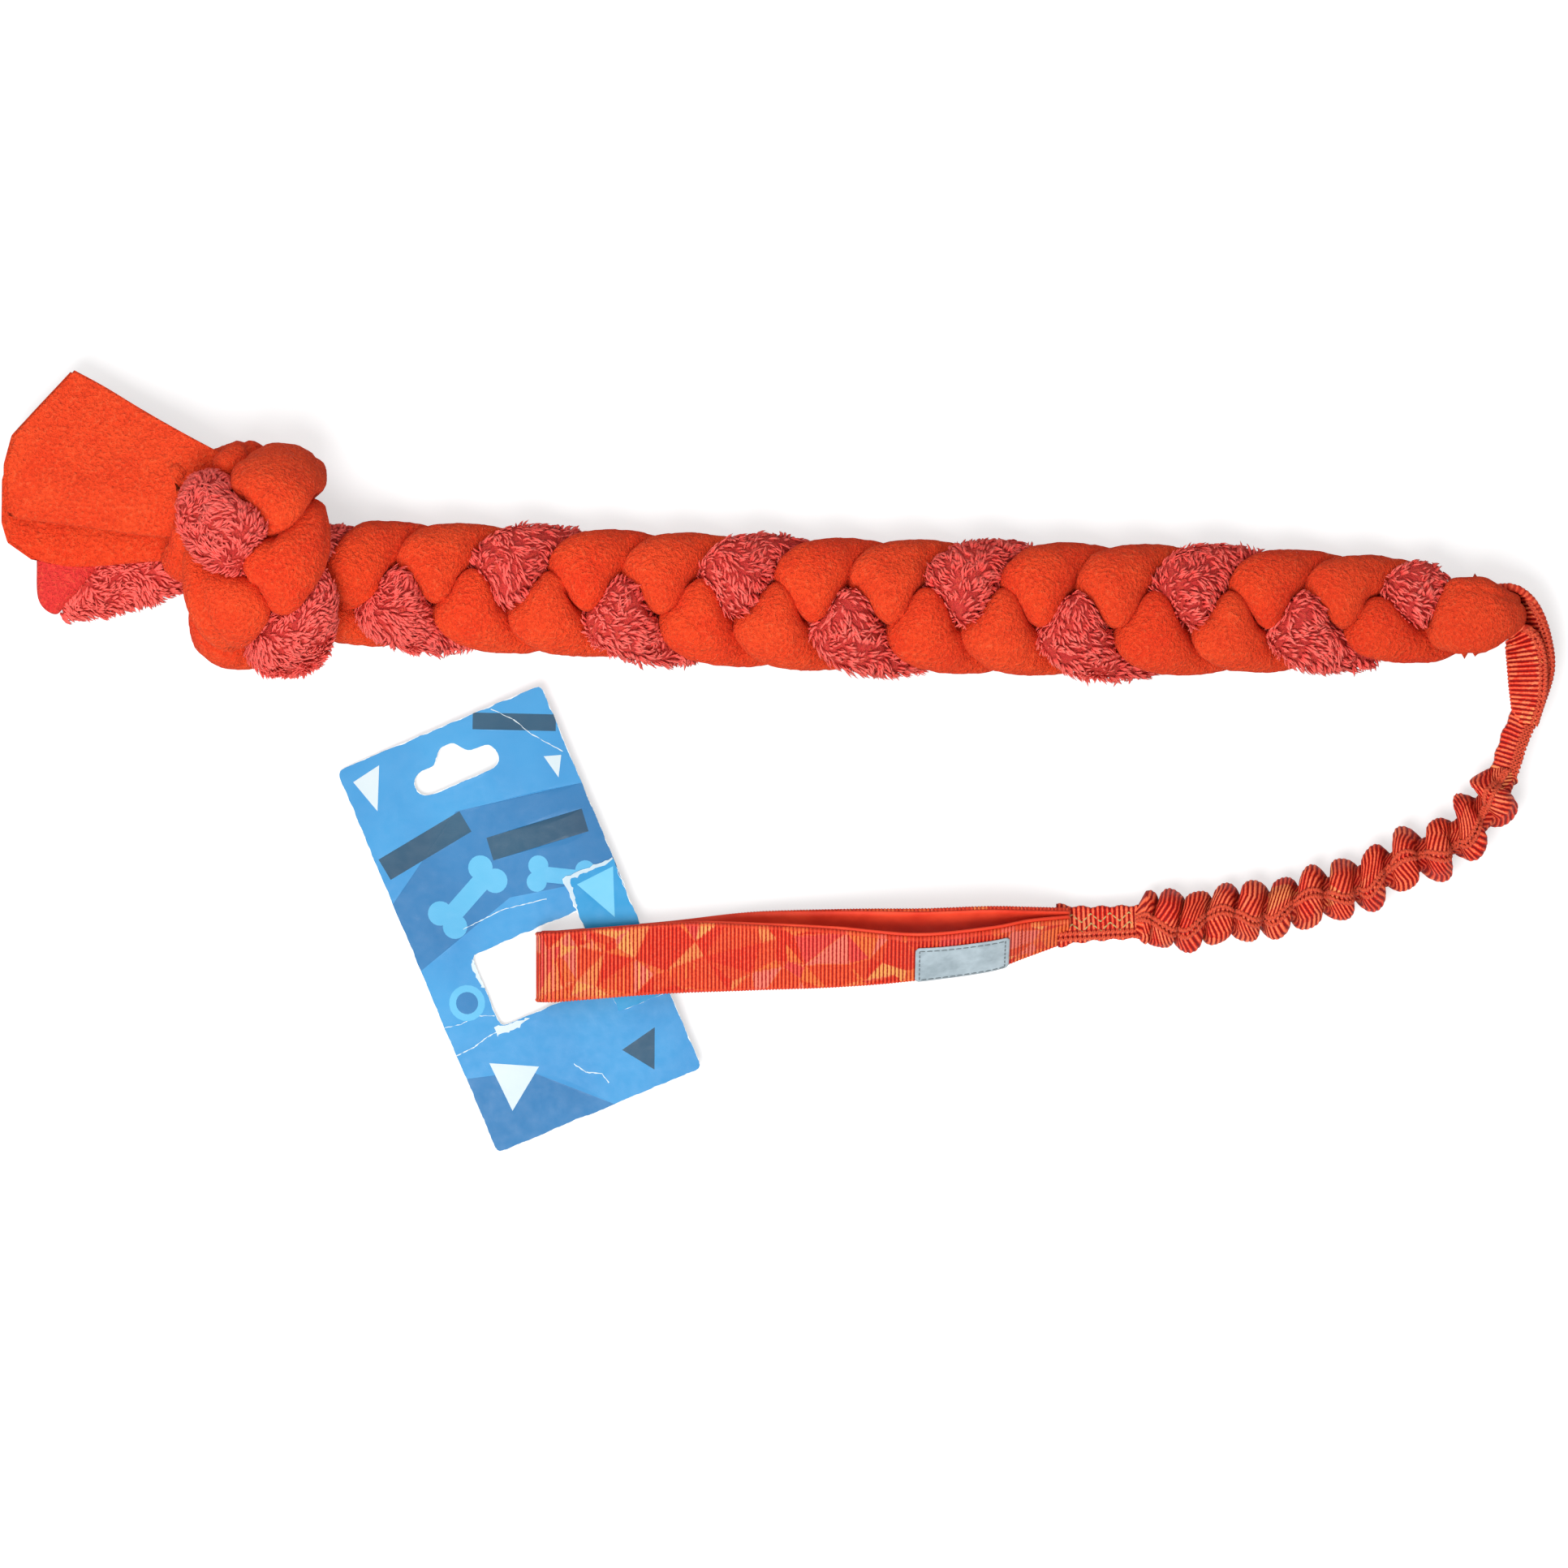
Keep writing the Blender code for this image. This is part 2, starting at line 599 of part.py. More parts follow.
def sleeve_sections(start, end):
    """Rings of the sleeve, whose one ruffle winds round it like a screw thread."""
    rows = lead_rows(start, end, SLEEVE_STEP)
    upward, sideways = frames(rows[:, :3], np.tile((0, 0, 1.0), (len(rows), 1)))
    runs, length = rows[:, 3] - start, end - start
    swell = np.clip(np.minimum(runs, length - runs) / SLEEVE_CORE_DIAMETER, 0, 1)
    turns = ruffle_phase(runs, length)
    angles = 2 * math.pi * np.arange(SLEEVE_SIDES) / SLEEVE_SIDES
    sections = []
    for place, side, rise, turn, share in zip(rows[:, :3], sideways, upward, turns, swell):
        crest = (0.5 + np.cos(2 * math.pi * turn + angles) / 2) ** 0.8
        radii = SLEEVE_CORE_DIAMETER / 2 + RUFFLE_HEIGHT * share * crest
        points = place + np.outer(radii * np.cos(angles), side) + np.outer(radii * np.sin(angles), rise)
        points[:, 2] = np.maximum(points[:, 2], 0)
        sections.append(points)
    return sections


def rope(name, points, radius):
    """A round rope along a line, closed at both ends."""
    curve = bpy.data.curves.new(name, "CURVE")
    curve.dimensions = "3D"
    curve.bevel_depth = radius
    curve.bevel_resolution = 4
    curve.use_fill_caps = True
    line = curve.splines.new("POLY")
    line.points.add(len(points) - 1)
    for spot, point in zip(line.points, points):
        spot.co = (*point, 1)
    return as_mesh(name, curve)


def as_mesh(name, curve):
    """The mesh of a curve, with its seams closed."""
    drawn = bpy.data.objects.new(name, curve)
    bpy.context.scene.collection.objects.link(drawn)
    bpy.context.view_layer.update()
    mesh = bpy.data.meshes.new_from_object(drawn.evaluated_get(bpy.context.evaluated_depsgraph_get()))
    bpy.data.objects.remove(drawn)
    bm = bmesh.new()
    bm.from_mesh(mesh)
    bmesh.ops.remove_doubles(bm, verts=bm.verts, dist=0.00001)
    bmesh.ops.recalc_face_normals(bm, faces=bm.faces)
    bm.to_mesh(mesh)
    bm.free()
    mesh.name = name
    return bpy.data.objects.new(name, mesh)


def bungee_pieces(cutters):
    """The ruched sleeve, bored for its elastic, and the elastic."""
    total = lead_line()[-1, 3]
    start, end = FORE_NECK_LENGTH, total - AFT_NECK_LENGTH
    sleeve = loft("bungee_sleeve", sleeve_sections(start, end))
    bored = lead_rows(start - ELASTIC_STEP, end + ELASTIC_STEP, ELASTIC_STEP)
    bore = rope("sleeve_bore", bored[:, :3], ELASTIC_DIAMETER / 2 + ELASTIC_CLEARANCE)
    cutters.objects.link(bore)
    cut = sleeve.modifiers.new("bore", "BOOLEAN")
    cut.operation = "DIFFERENCE"
    cut.solver = "EXACT"
    cut.object = bore
    core = rope("elastic_core", bored[1:-1, :3], ELASTIC_DIAMETER / 2)
    core.data.shade_smooth()
    return sleeve, core


def strap_reach(opening_share):
    """Middle of the outer strap from the hand loop's spine."""
    clear = HAND_OPENING / 2 * opening_share
    return clear + LINING_THICKNESS + TOUCH_GAP + STRAP_THICKNESS / 2


def hand_row(share):
    """The hand loop at a share of its length: across share, lean, opening share and width share."""
    stations = spline(HAND_STATION_SHARES, 6)
    across, lean, opening, width = (
        np.interp(share, stations[:, 0], column) for column in stations.T[1:]
    )
    return across, math.radians(lean), opening, width


def hand_height(share):
    """Height of the hand loop's spine, whose lower strap rests on the table."""
    _, lean, opening, width = hand_row(share)
    reach = strap_reach(opening) + STRAP_THICKNESS / 2
    return STRAP_WIDTH / 2 * width * math.sin(lean) + reach * math.cos(lean)


def hand_bend():
    """Outermost middle of the hand loop's bend."""
    end = lead_line()[-1]
    across = HAND_STATION_SHARES[-1][1] - HAND_STATION_SHARES[0][1]
    return Vector((end[0] - TOUCH_GAP - HAND_LENGTH, end[1] - across * HAND_LENGTH, hand_height(0.0)))


def hand_station(share):
    """Spine place, width direction and upper face's direction of the hand loop."""
    bend = hand_bend()
    across, lean, _, _ = hand_row(share)
    round_end = strap_reach(1.0) + STRAP_THICKNESS / 2
    along = bend.x + round_end + share * (HAND_LENGTH - round_end)
    place = np.array((along, bend.y + across * HAND_LENGTH, hand_height(share)))
    width = np.array((0, math.cos(lean), math.sin(lean)))
    return place, width, np.array((0, -math.sin(lean), math.cos(lean)))


def hand_strip(inset, width, half_thickness, lip):
    """Sections of a strap from the neck along the top, round the bend and back underneath."""
    shares = np.linspace(1, 0, round(HAND_LENGTH / STRAP_STEP))
    sections = []
    for side, run in ((1, shares), (-1, shares[::-1])):
        for share in run:
            place, across, face = hand_station(share)
            _, _, opening, width_share = hand_row(share)
            middle = place + face * side * (strap_reach(opening) - inset) + across * lip
            sections.append((middle, across, face * side, width / 2 * width_share))
        if side > 0:
            sections += bend_stations(inset, width, lip)
    places, sideways, faces, halves = zip(*sections)
    return strap_sections(places, sideways, faces, halves, half_thickness)


def bend_stations(inset, width, lip):
    """Middle, width direction, face and half width round the hand loop's bend."""
    place, across, face = hand_station(0.0)
    radius = strap_reach(1.0) - inset
    found = []
    for angle in np.radians((18, 36, 54, 72, 90, 108, 126, 144, 162)):
        out = face * math.cos(angle) - np.array((1.0, 0, 0)) * math.sin(angle)
        found.append((place + out * radius + across * lip, across, out, width / 2))
    return found


def hand_pieces():
    """The hand loop's webbing, its lining and the label sewn on top."""
    webbing = loft("handle_webbing", hand_strip(0, STRAP_WIDTH, STRAP_THICKNESS / 2, 0), False)
    inset = (STRAP_THICKNESS + LINING_THICKNESS) / 2 + TOUCH_GAP
    sections = hand_strip(inset, LINING_WIDTH, LINING_THICKNESS / 2, LINING_LIP)
    lining = loft("handle_lining", sections, False)
    return webbing, lining, loft("handle_label", label_sections(), False)


def label_sections():
    """The label lies on the upper strap near its sewn end."""
    half = LABEL_LENGTH / 2 / HAND_LENGTH
    shares = np.linspace(LABEL_MIDDLE_SHARE - half, LABEL_MIDDLE_SHARE + half, 9)
    lift = (STRAP_THICKNESS + LABEL_THICKNESS) / 2 + TOUCH_GAP
    rows = []
    for share in shares:
        place, across, face = hand_station(share)
        middle = place + face * (strap_reach(hand_row(share)[2]) + lift) - across * LABEL_DROP
        rows.append((middle, across, face, LABEL_WIDTH / 2))
    places, sideways, faces, halves = zip(*rows)
    return strap_sections(places, sideways, faces, halves, LABEL_THICKNESS / 2)


def rounded(corners, radius, steps):
    """A polygon's outline with its corners rounded."""
    found = []
    for i, corner in enumerate(corners):
        here = Vector(corner)
        before = (Vector(corners[i - 1]) - here).normalized()
        after = (Vector(corners[(i + 1) % len(corners)]) - here).normalized()
        for t in np.linspace(0, 1, steps + 1):
            start, end = here + before * radius, here + after * radius
            found.append(start * (1 - t) ** 2 + here * 2 * t * (1 - t) + end * t**2)
    return found


def plate(name, outlines, thickness):
    """A flat plate cut to an outline, with the further outlines as holes; its lower face at zero."""
    curve = bpy.data.curves.new(name, "CURVE")
    curve.dimensions = "2D"
    curve.fill_mode = "BOTH"
    curve.extrude = thickness / 2
    for outline in outlines:
        line = curve.splines.new("POLY")
        line.points.add(len(outline) - 1)
        for spot, point in zip(line.points, outline):
            spot.co = (*point, 0, 1)
        line.use_cyclic_u = True
    made = as_mesh(name, curve)
    made.data.transform(Matrix.Translation((0, 0, thickness / 2)))
    return made


def card_outline():
    """The card with its window, which is open to the right edge."""
    foot = -WINDOW_TOP - WINDOW_HEIGHT
    corners = (
        (0, 0),
        (CARD_WIDTH, 0),
        (CARD_WIDTH, -WINDOW_TOP),
        (WINDOW_SIDE, -WINDOW_TOP),
        (WINDOW_SIDE, foot),
        (CARD_WIDTH, foot),
        (CARD_WIDTH, -CARD_LENGTH),
        (0, -CARD_LENGTH),
    )
    return rounded(corners, CARD_CORNER, 3)


def slot_outline():
    """The card's hanging slot: a bar with round ends and a bump over its middle."""
    half, rise = SLOT_WIDTH / 2, SLOT_HEIGHT / 2
    corners = (
        (-half, -rise),
        (half, -rise),
        (half, rise),
        (SLOT_BUMP / 2, rise),
        (SLOT_BUMP / 2, rise + SLOT_RISE),
        (-SLOT_BUMP / 2, rise + SLOT_RISE),
        (-SLOT_BUMP / 2, rise),
        (-half, rise),
    )
    place = Vector((CARD_WIDTH / 2, -SLOT_MARGIN))
    return [place + point for point in rounded(corners, SLOT_RISE / 2 - TOUCH_GAP, 3)]


def card_frame():
    """The card's corner on the table, its turn and its tilt, held round the hand loop."""
    hold = Vector((CARD_WIDTH * CARD_HOLD_SHARES[0], -CARD_LENGTH * CARD_HOLD_SHARES[1]))
    turn = Matrix.Rotation(CARD_TURN, 3, "Z")
    bend = hand_bend()
    corner = Vector((bend.x, bend.y, 0)) - turn @ hold.to_3d()
    placed = Matrix.Translation(corner) @ turn.to_4x4()
    return placed @ Matrix.Rotation(-CARD_TILT, 4, "Y")


def card_pieces():
    """The retail card and the tongue that closes its window."""
    card = plate("hang_card", (card_outline(), slot_outline()), CARD_THICKNESS)
    left, top = CARD_WIDTH - TONGUE_WIDTH - TOUCH_GAP, TONGUE_LAP - WINDOW_TOP
    corners = (
        (left, top),
        (left + TONGUE_WIDTH, top),
        (left + TONGUE_WIDTH, top - TONGUE_LENGTH),
        (left, top - TONGUE_LENGTH),
    )
    tongue = plate("card_tongue", (rounded(corners, CARD_CORNER, 3),), CARD_THICKNESS)
    tongue.data.transform(Matrix.Translation((0, 0, CARD_THICKNESS + TOUCH_GAP)))
    for made in (card, tongue):
        made.data.transform(card_frame())
    return card, tongue


def tug_pieces():
    """The three strands, packed together and round the tug loop, and the tug loop."""
    strands = strand_rows()
    loop = tug_loop()
    balls = np.column_stack([loop[:, :3], loop[:, 4] + TOUCH_GAP])
    skins, middles = {}, {}
    for name in strands:
        skins[name], middles[name] = packed_sections(name, strands, balls)
    sections = np.array(loop_sections(loop))
    skins = eased_apart(skins, middles, skin_tree(sections[:, ::-1]))
    return [loft(name, skin) for name, skin in skins.items()], loft("tug_loop", sections, False)


MATERIALS = {
    "fleece_strand_a": ((0.72, 0.05, 0.018), 0.95, 0.0),
    "fleece_strand_b": ((0.66, 0.045, 0.018), 0.95, 0.0),
    "plush_strand": ((0.68, 0.075, 0.065), 0.95, 0.0),
    "tug_loop": ((0.79, 0.10, 0.035), 0.80, 0.0),
    "fore_neck": ((0.76, 0.09, 0.035), 0.80, 0.0),
    "bungee_sleeve": ((0.60, 0.12, 0.075), 0.75, 0.0),
    "elastic_core": ((0.55, 0.50, 0.40), 0.60, 0.0),
    "aft_neck": ((0.74, 0.09, 0.035), 0.80, 0.0),
    "handle_webbing": ((0.80, 0.11, 0.045), 0.80, 0.0),
    "handle_lining": ((0.70, 0.05, 0.022), 0.60, 0.0),
    "handle_label": ((0.33, 0.42, 0.47), 0.35, 0.0),
    "hang_card": ((0.07, 0.33, 0.64), 0.45, 0.0),
    "card_tongue": ((0.025, 0.38, 0.76), 0.45, 0.0),
}


def painted(made):
    """Give a piece its own material."""
    colour, roughness, metallic = MATERIALS[made.name]
    material = bpy.data.materials.new(made.name)
    material.use_nodes = True
    shader = material.node_tree.nodes["Principled BSDF"]
    shader.inputs["Base Color"].default_value = (*colour, 1)
    shader.inputs["Roughness"].default_value = roughness
    shader.inputs["Metallic"].default_value = metallic
    made.data.materials.clear()
    made.data.materials.append(material)


def grouped(name):
    group = bpy.data.collections.new(name)
    bpy.context.scene.collection.children.link(group)
    return group


def carried(group, name, place, parent, pieces):
    """An empty at a joint's place that carries its pieces."""
    empty = bpy.data.objects.new(name, None)
    group.objects.link(empty)
    empty.parent = parent
    empty.location = place if parent is None else place - Vector(parent["place"])
    empty["place"] = tuple(place)
    for made in pieces:
        made.data.transform(Matrix.Translation(-place))
        made.parent = empty
        group.objects.link(made)
        painted(made)
    return empty


def moved(made, shift):
    for piece in made:
        piece.data.transform(Matrix.Translation(shift))


def resting_middle(pieces):
    """Middle of the whole toy's footprint on the table."""
    places = [vert.co for piece in pieces for vert in piece.data.vertices]
    low = [min(place[i] for place in places) for i in range(2)]
    high = [max(place[i] for place in places) for i in range(2)]
    return Vector(((low[0] + high[0]) / 2, (low[1] + high[1]) / 2, 0))


def main():
    toy, cutters = grouped(TUG_NAME), grouped("cutters")
    strands, loop = tug_pieces()
    total = lead_line()[-1, 3]
    fore = neck("fore_neck", 0, FORE_NECK_LENGTH, FORE_NECK_WIDTH)
    aft = neck("aft_neck", total - AFT_NECK_LENGTH, total, AFT_NECK_WIDTH)
    sleeve, core = bungee_pieces(cutters)
    hand, card = hand_pieces(), card_pieces()
    pieces = [*strands, loop, fore, sleeve, core, aft, *hand, *card]
    shift = -resting_middle(pieces)
    moved([*pieces, *cutters.objects], shift)
    fore_end = Vector(lead_rows(FORE_NECK_LENGTH, total, ELASTIC_STEP)[0, :3]) + shift
    aft_start = Vector(lead_rows(total - AFT_NECK_LENGTH, total, ELASTIC_STEP)[0, :3]) + shift
    lead_end = Vector(lead_line()[-1, :3]) + shift
    root = carried(toy, TUG_NAME, Vector(), None, strands)
    link = carried(toy, "tug_link", eye_centre() + shift, root, [loop, fore])
    bungee = carried(toy, "bungee", fore_end, link, [sleeve, core])
    tail = carried(toy, "aft_link", aft_start, bungee, [aft])
    handle = carried(toy, "handle", lead_end, tail, hand)
    carried(toy, "card", card_frame().translation + shift, handle, card)
    for cutter in cutters.objects:
        cutter.data.transform(Matrix.Translation(-fore_end))
        cutter.parent = bungee
        cutter.hide_render = True
        cutter.display_type = "WIRE"


for old in list(bpy.data.objects):
    bpy.data.objects.remove(old)
main()
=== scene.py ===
"""Looks of a bungee tug toy laid flat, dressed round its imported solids, in metres."""

import math

import bpy
import numpy as np
from mathutils import Matrix, Vector
from mathutils.geometry import delaunay_2d_cdt


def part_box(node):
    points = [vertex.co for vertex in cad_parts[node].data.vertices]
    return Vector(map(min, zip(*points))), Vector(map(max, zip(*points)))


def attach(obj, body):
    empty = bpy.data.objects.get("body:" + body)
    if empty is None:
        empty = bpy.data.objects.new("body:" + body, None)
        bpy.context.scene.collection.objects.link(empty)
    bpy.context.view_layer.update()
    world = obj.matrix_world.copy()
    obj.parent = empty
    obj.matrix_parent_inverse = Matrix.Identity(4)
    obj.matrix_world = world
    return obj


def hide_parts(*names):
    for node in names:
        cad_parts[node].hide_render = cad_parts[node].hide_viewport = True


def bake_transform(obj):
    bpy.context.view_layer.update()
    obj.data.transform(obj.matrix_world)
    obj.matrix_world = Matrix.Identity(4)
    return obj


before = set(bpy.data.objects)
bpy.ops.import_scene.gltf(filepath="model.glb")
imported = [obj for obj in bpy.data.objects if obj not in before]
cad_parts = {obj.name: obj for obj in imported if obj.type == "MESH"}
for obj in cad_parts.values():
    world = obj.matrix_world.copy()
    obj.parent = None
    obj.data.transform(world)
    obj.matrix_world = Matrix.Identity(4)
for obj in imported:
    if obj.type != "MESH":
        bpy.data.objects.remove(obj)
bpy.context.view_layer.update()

# The solids' sizes, repeated so that the cloth follows them
TOUCH_GAP = 0.0003
STRAND_GAP = 0.0006
KNOT_STRAND_GAP = 0.0012
PLAIT_LENGTH = 0.3905
PLAIT_WIDTH = 0.047
PLAIT_DEPTH = 0.033
PLAIT_PITCH = 0.081
STRAND_WIDTH = 0.033
STRAND_DEPTH = 0.021
PLAIT_SKEW = 0.0030
PLUSH_PILE = 0.0015
STRAND_STEP = 0.0055
KNOT_WIDTH = 0.055
KNOT_LENGTH = 0.085
KNOT_HEIGHT = 0.056
TAIL_LENGTH = 0.066
TAIL_WIDTH = 0.058
FLEECE_FOLD_DEPTH = 0.0048
PLUSH_TAIL_DEPTH = 0.0064
EYE_RADIUS = 0.0085
EYE_STRAND_WIDTH = 0.027
EYE_STRAND_DEPTH = 0.014
EYE_ROUNDING_SHARE = 0.35
LOOP_LENGTH = 0.052
LOOP_WIDTH = 0.026
LOOP_WEB_WIDTH = 0.015
LOOP_WEB_THICKNESS = 0.002
LEAD_SPAN = 0.163
LEAD_DROP = 0.0745
NECK_THICKNESS = 0.006
FORE_NECK_WIDTH = 0.0094
FORE_NECK_LENGTH = 0.0205
AFT_NECK_WIDTH = 0.0116
AFT_NECK_LENGTH = 0.0235
SLEEVE_CORE_DIAMETER = 0.0125
RUFFLE_HEIGHT = 0.0042
RUFFLE_FIRST_PITCH = 0.0150
RUFFLE_LAST_PITCH = 0.0085
ELASTIC_DIAMETER = 0.0064
RESTING_CUT = 0.0005
HAND_LENGTH = 0.191
STRAP_WIDTH = 0.025
STRAP_THICKNESS = 0.0013
LINING_WIDTH = 0.0236
LINING_THICKNESS = 0.0010
HAND_OPENING = 0.009
LINING_LIP = 0.0012
STRAP_STEP = 0.0035
LABEL_LENGTH = 0.035
LABEL_WIDTH = 0.020
LABEL_THICKNESS = 0.0006
LABEL_MIDDLE_SHARE = 0.803
LABEL_DROP = 0.0023
CARD_WIDTH = 0.080
CARD_LENGTH = 0.149
CARD_THICKNESS = 0.0005
CARD_CORNER = 0.0025
CARD_TURN = math.radians(22.8)
CARD_TILT = math.radians(4.2)
CARD_HOLD_SHARES = (0.4875, 0.6215)
WINDOW_TOP = 0.0800
WINDOW_HEIGHT = 0.0275
WINDOW_SIDE = 0.019
SLOT_WIDTH = 0.032
SLOT_HEIGHT = 0.009
SLOT_RISE = 0.005
SLOT_MARGIN = 0.0165
TONGUE_WIDTH = 0.0195
TONGUE_LENGTH = 0.052
TONGUE_LAP = 0.013
PLAIT_START_TURN_SHARE = -0.655

# Middle of the bundle through the knot, from the tails to the plait: place in shares of the knot,
# outward side of the flat face, spread and rise in shares of the plait's, and plaiting turns made
KNOT_ROUTE_SHARES = (
    (-0.440, 0.160, 0.380, 0.0, 0.0, 1.0, 1.90, 1.50, -3.125),
    (-0.255, 0.180, 0.440, 0.2, 0.0, 1.0, 1.30, 1.20, -2.980),
    (-0.036, 0.130, 0.320, 0.9, 0.3, 0.2, 0.65, 0.80, -2.860),
    (0.000, -0.047, 0.150, 0.5, 0.0, -0.9, 0.80, 0.70, -2.740),
    (0.018, -0.235, 0.185, 0.0, -0.4, -1.0, 1.10, 0.60, -2.600),
    (0.036, -0.340, 0.460, 0.0, -1.0, 0.0, 1.30, 0.60, -2.460),
    (0.018, -0.210, 0.740, 0.0, -0.5, 0.9, 1.40, 0.60, -2.235),
    (0.000, 0.000, 0.800, 0.0, 0.0, 1.0, 1.40, 0.60, -1.990),
    (-0.018, 0.215, 0.740, 0.0, 0.5, 0.9, 1.40, 0.60, -1.760),
    (-0.036, 0.335, 0.460, 0.0, 1.0, 0.0, 1.30, 0.60, -1.640),
    (-0.180, 0.280, 0.232, -0.2, 0.4, -0.9, 0.80, 0.70, -1.480),
    (-0.310, 0.118, 0.250, -0.6, 0.0, -0.8, 0.65, 0.80, -1.240),
    (-0.180, -0.024, 0.393, -0.3, -0.8, -0.4, 0.65, 0.80, -1.000),
    (0.110, -0.070, 0.464, 0.0, -1.0, 0.1, 0.70, 0.80, -0.810),
    (0.436, -0.106, 0.400, 0.0, -0.5, 0.8, 0.90, 0.90, -0.645),
)

# The plait's middle line: shares of its length along and across, of its depth up, and its size
PLAIT_ROUTE_SHARES = (
    (0.030, -0.0256, 0.550, 0.97),
    (0.080, -0.0270, 0.500, 0.97),
    (0.255, -0.0350, 0.482, 0.98),
    (0.434, -0.0440, 0.490, 1.02),
    (0.731, -0.0500, 0.490, 1.02),
    (0.880, -0.0490, 0.452, 0.93),
    (1.000, -0.0500, 0.430, 0.76),
)

# Tails from the cut end to the knot: shares of the tail's length past the knot, of its width
# across, of the knot's height up, and half the tail's width as a share of the widest tail
UPPER_TAIL_SHARES = (
    (0.85, 0.400, 0.275, 0.53),
    (0.50, 0.300, 0.300, 0.47),
    (0.22, 0.240, 0.360, 0.39),
    (0.02, 0.225, 0.440, 0.30),
)
LOWER_TAIL_SHARES = (
    (0.94, 0.010, 0.175, 0.31),
    (0.53, -0.010, 0.185, 0.31),
    (0.22, -0.010, 0.220, 0.28),
    (0.02, 0.000, 0.290, 0.25),
)
PLUSH_TAIL_SHARES = (
    (0.76, -0.360, 0.065, 0.29),
    (0.38, -0.290, 0.080, 0.28),
    (0.18, -0.210, 0.110, 0.26),
    (0.00, -0.140, 0.160, 0.22),
)

# Tug loop: middle line of the webbing, from the neck round through the eye and back to the neck,
# in shares of the loop's length and width from the neck's end, its height in shares of the eye's,
# its lean from upright in turns, and its width
LOOP_ROUTE_SHARES = (
    (0.01, -0.06, 0.52, 0.17, 0.55),
    (0.07, 0.11, 0.56, 0.18, 0.80),
    (0.14, 0.33, 0.64, 0.17, 1.00),
    (0.12, 0.52, 0.74, 0.15, 0.95),
    (0.06, 0.70, 0.85, 0.10, 0.85),
    (-0.05, 0.82, 0.93, 0.05, 0.75),
    (-0.25, 0.88, 1.00, 0.02, 0.62),
    (-0.55, 0.85, 1.00, 0.00, 0.55),
    (-0.69, 0.75, 1.00, 0.00, 0.50),
    (-0.69, 0.57, 1.00, 0.00, 0.50),
    (-0.50, 0.53, 0.96, 0.02, 0.60),
    (-0.18, 0.59, 0.92, 0.08, 0.85),
    (-0.02, 0.47, 0.89, 0.17, 1.00),
    (0.03, 0.18, 0.82, 0.19, 0.95),
    (0.00, -0.06, 0.72, 0.18, 0.64),
)

# The lead's line from the tug loop to the hand loop, in shares of its span and drop
LEAD_ROUTE_SHARES = (
    (0.000, 0.000),
    (0.024, 0.117),
    (0.048, 0.274),
    (0.083, 0.440),
    (0.142, 0.568),
    (0.233, 0.676),
    (0.322, 0.762),
    (0.411, 0.842),
    (0.501, 0.901),
    (0.590, 0.937),
    (0.679, 0.967),
    (0.768, 0.985),
    (0.857, 0.993),
    (0.929, 1.000),
    (1.000, 1.008),
)

# The hand loop from its bend to its sewn end: shares of its length along and across, its lean in
# degrees, and its opening and width as shares
HAND_STATION_SHARES = (
    (0.00, 0.0000, 0, 1.00, 1.00),
    (0.23, 0.0180, 2, 1.00, 1.00),
    (0.38, 0.0300, 20, 1.00, 1.00),
    (0.54, 0.0355, 34, 0.95, 1.00),
    (0.70, 0.0425, 52, 0.95, 1.00),
    (0.84, 0.0540, 56, 0.70, 1.00),
    (0.92, 0.0660, 58, 0.30, 0.88),
    (1.00, 0.0790, 60, 0.07, 0.60),
)


def cubic(a, b, c, d, t):
    """A place between b and c, on the smooth curve through all four."""
    bend, twist = 2 * a - 5 * b + 4 * c - d, 3 * b - a - 3 * c + d
    return b + ((c - a) * t + bend * t**2 + twist * t**3) / 2


def spline(rows, spans):
    """Points of a smooth curve through every row, with the same number of steps in each span."""
    rows = np.asarray(rows, float)
    padded = np.vstack([2 * rows[0] - rows[1], rows, 2 * rows[-1] - rows[-2]])
    fours = zip(padded, padded[1:], padded[2:], padded[3:])
    found = [cubic(*four, t) for four in fours for t in np.arange(spans) / spans]
    return np.array(found + [rows[-1]])


def run_lengths(points):
    """Distance along a line of points, from its first one."""
    steps = np.linalg.norm(np.diff(points[:, :3], axis=0), axis=1)
    return np.concatenate([[0], np.cumsum(steps)])


def evenly(rows, step):
    """The same line with its rows about one step apart."""
    lengths = run_lengths(rows)
    count = max(2, round(lengths[-1] / step))
    wanted = np.linspace(0, lengths[-1], count + 1)
    return np.column_stack([np.interp(wanted, lengths, column) for column in rows.T])


def unit(vectors):
    return vectors / np.linalg.norm(vectors, axis=-1, keepdims=True)


def frames(points, outward):
    """Outward and sideways directions along a line, both square to it."""
    along = unit(np.gradient(points, axis=0))
    outward = unit(outward - along * np.sum(outward * along, axis=1, keepdims=True))
    return outward, np.cross(outward, along)


def squarer(values, power):
    """Cosines or sines of a round outline, pushed outward."""
    return np.sign(values) * np.abs(values) ** power


def knot_rows():
    rows = np.array(KNOT_ROUTE_SHARES)
    rows[:, :3] *= (KNOT_WIDTH, KNOT_LENGTH, KNOT_HEIGHT)
    return rows


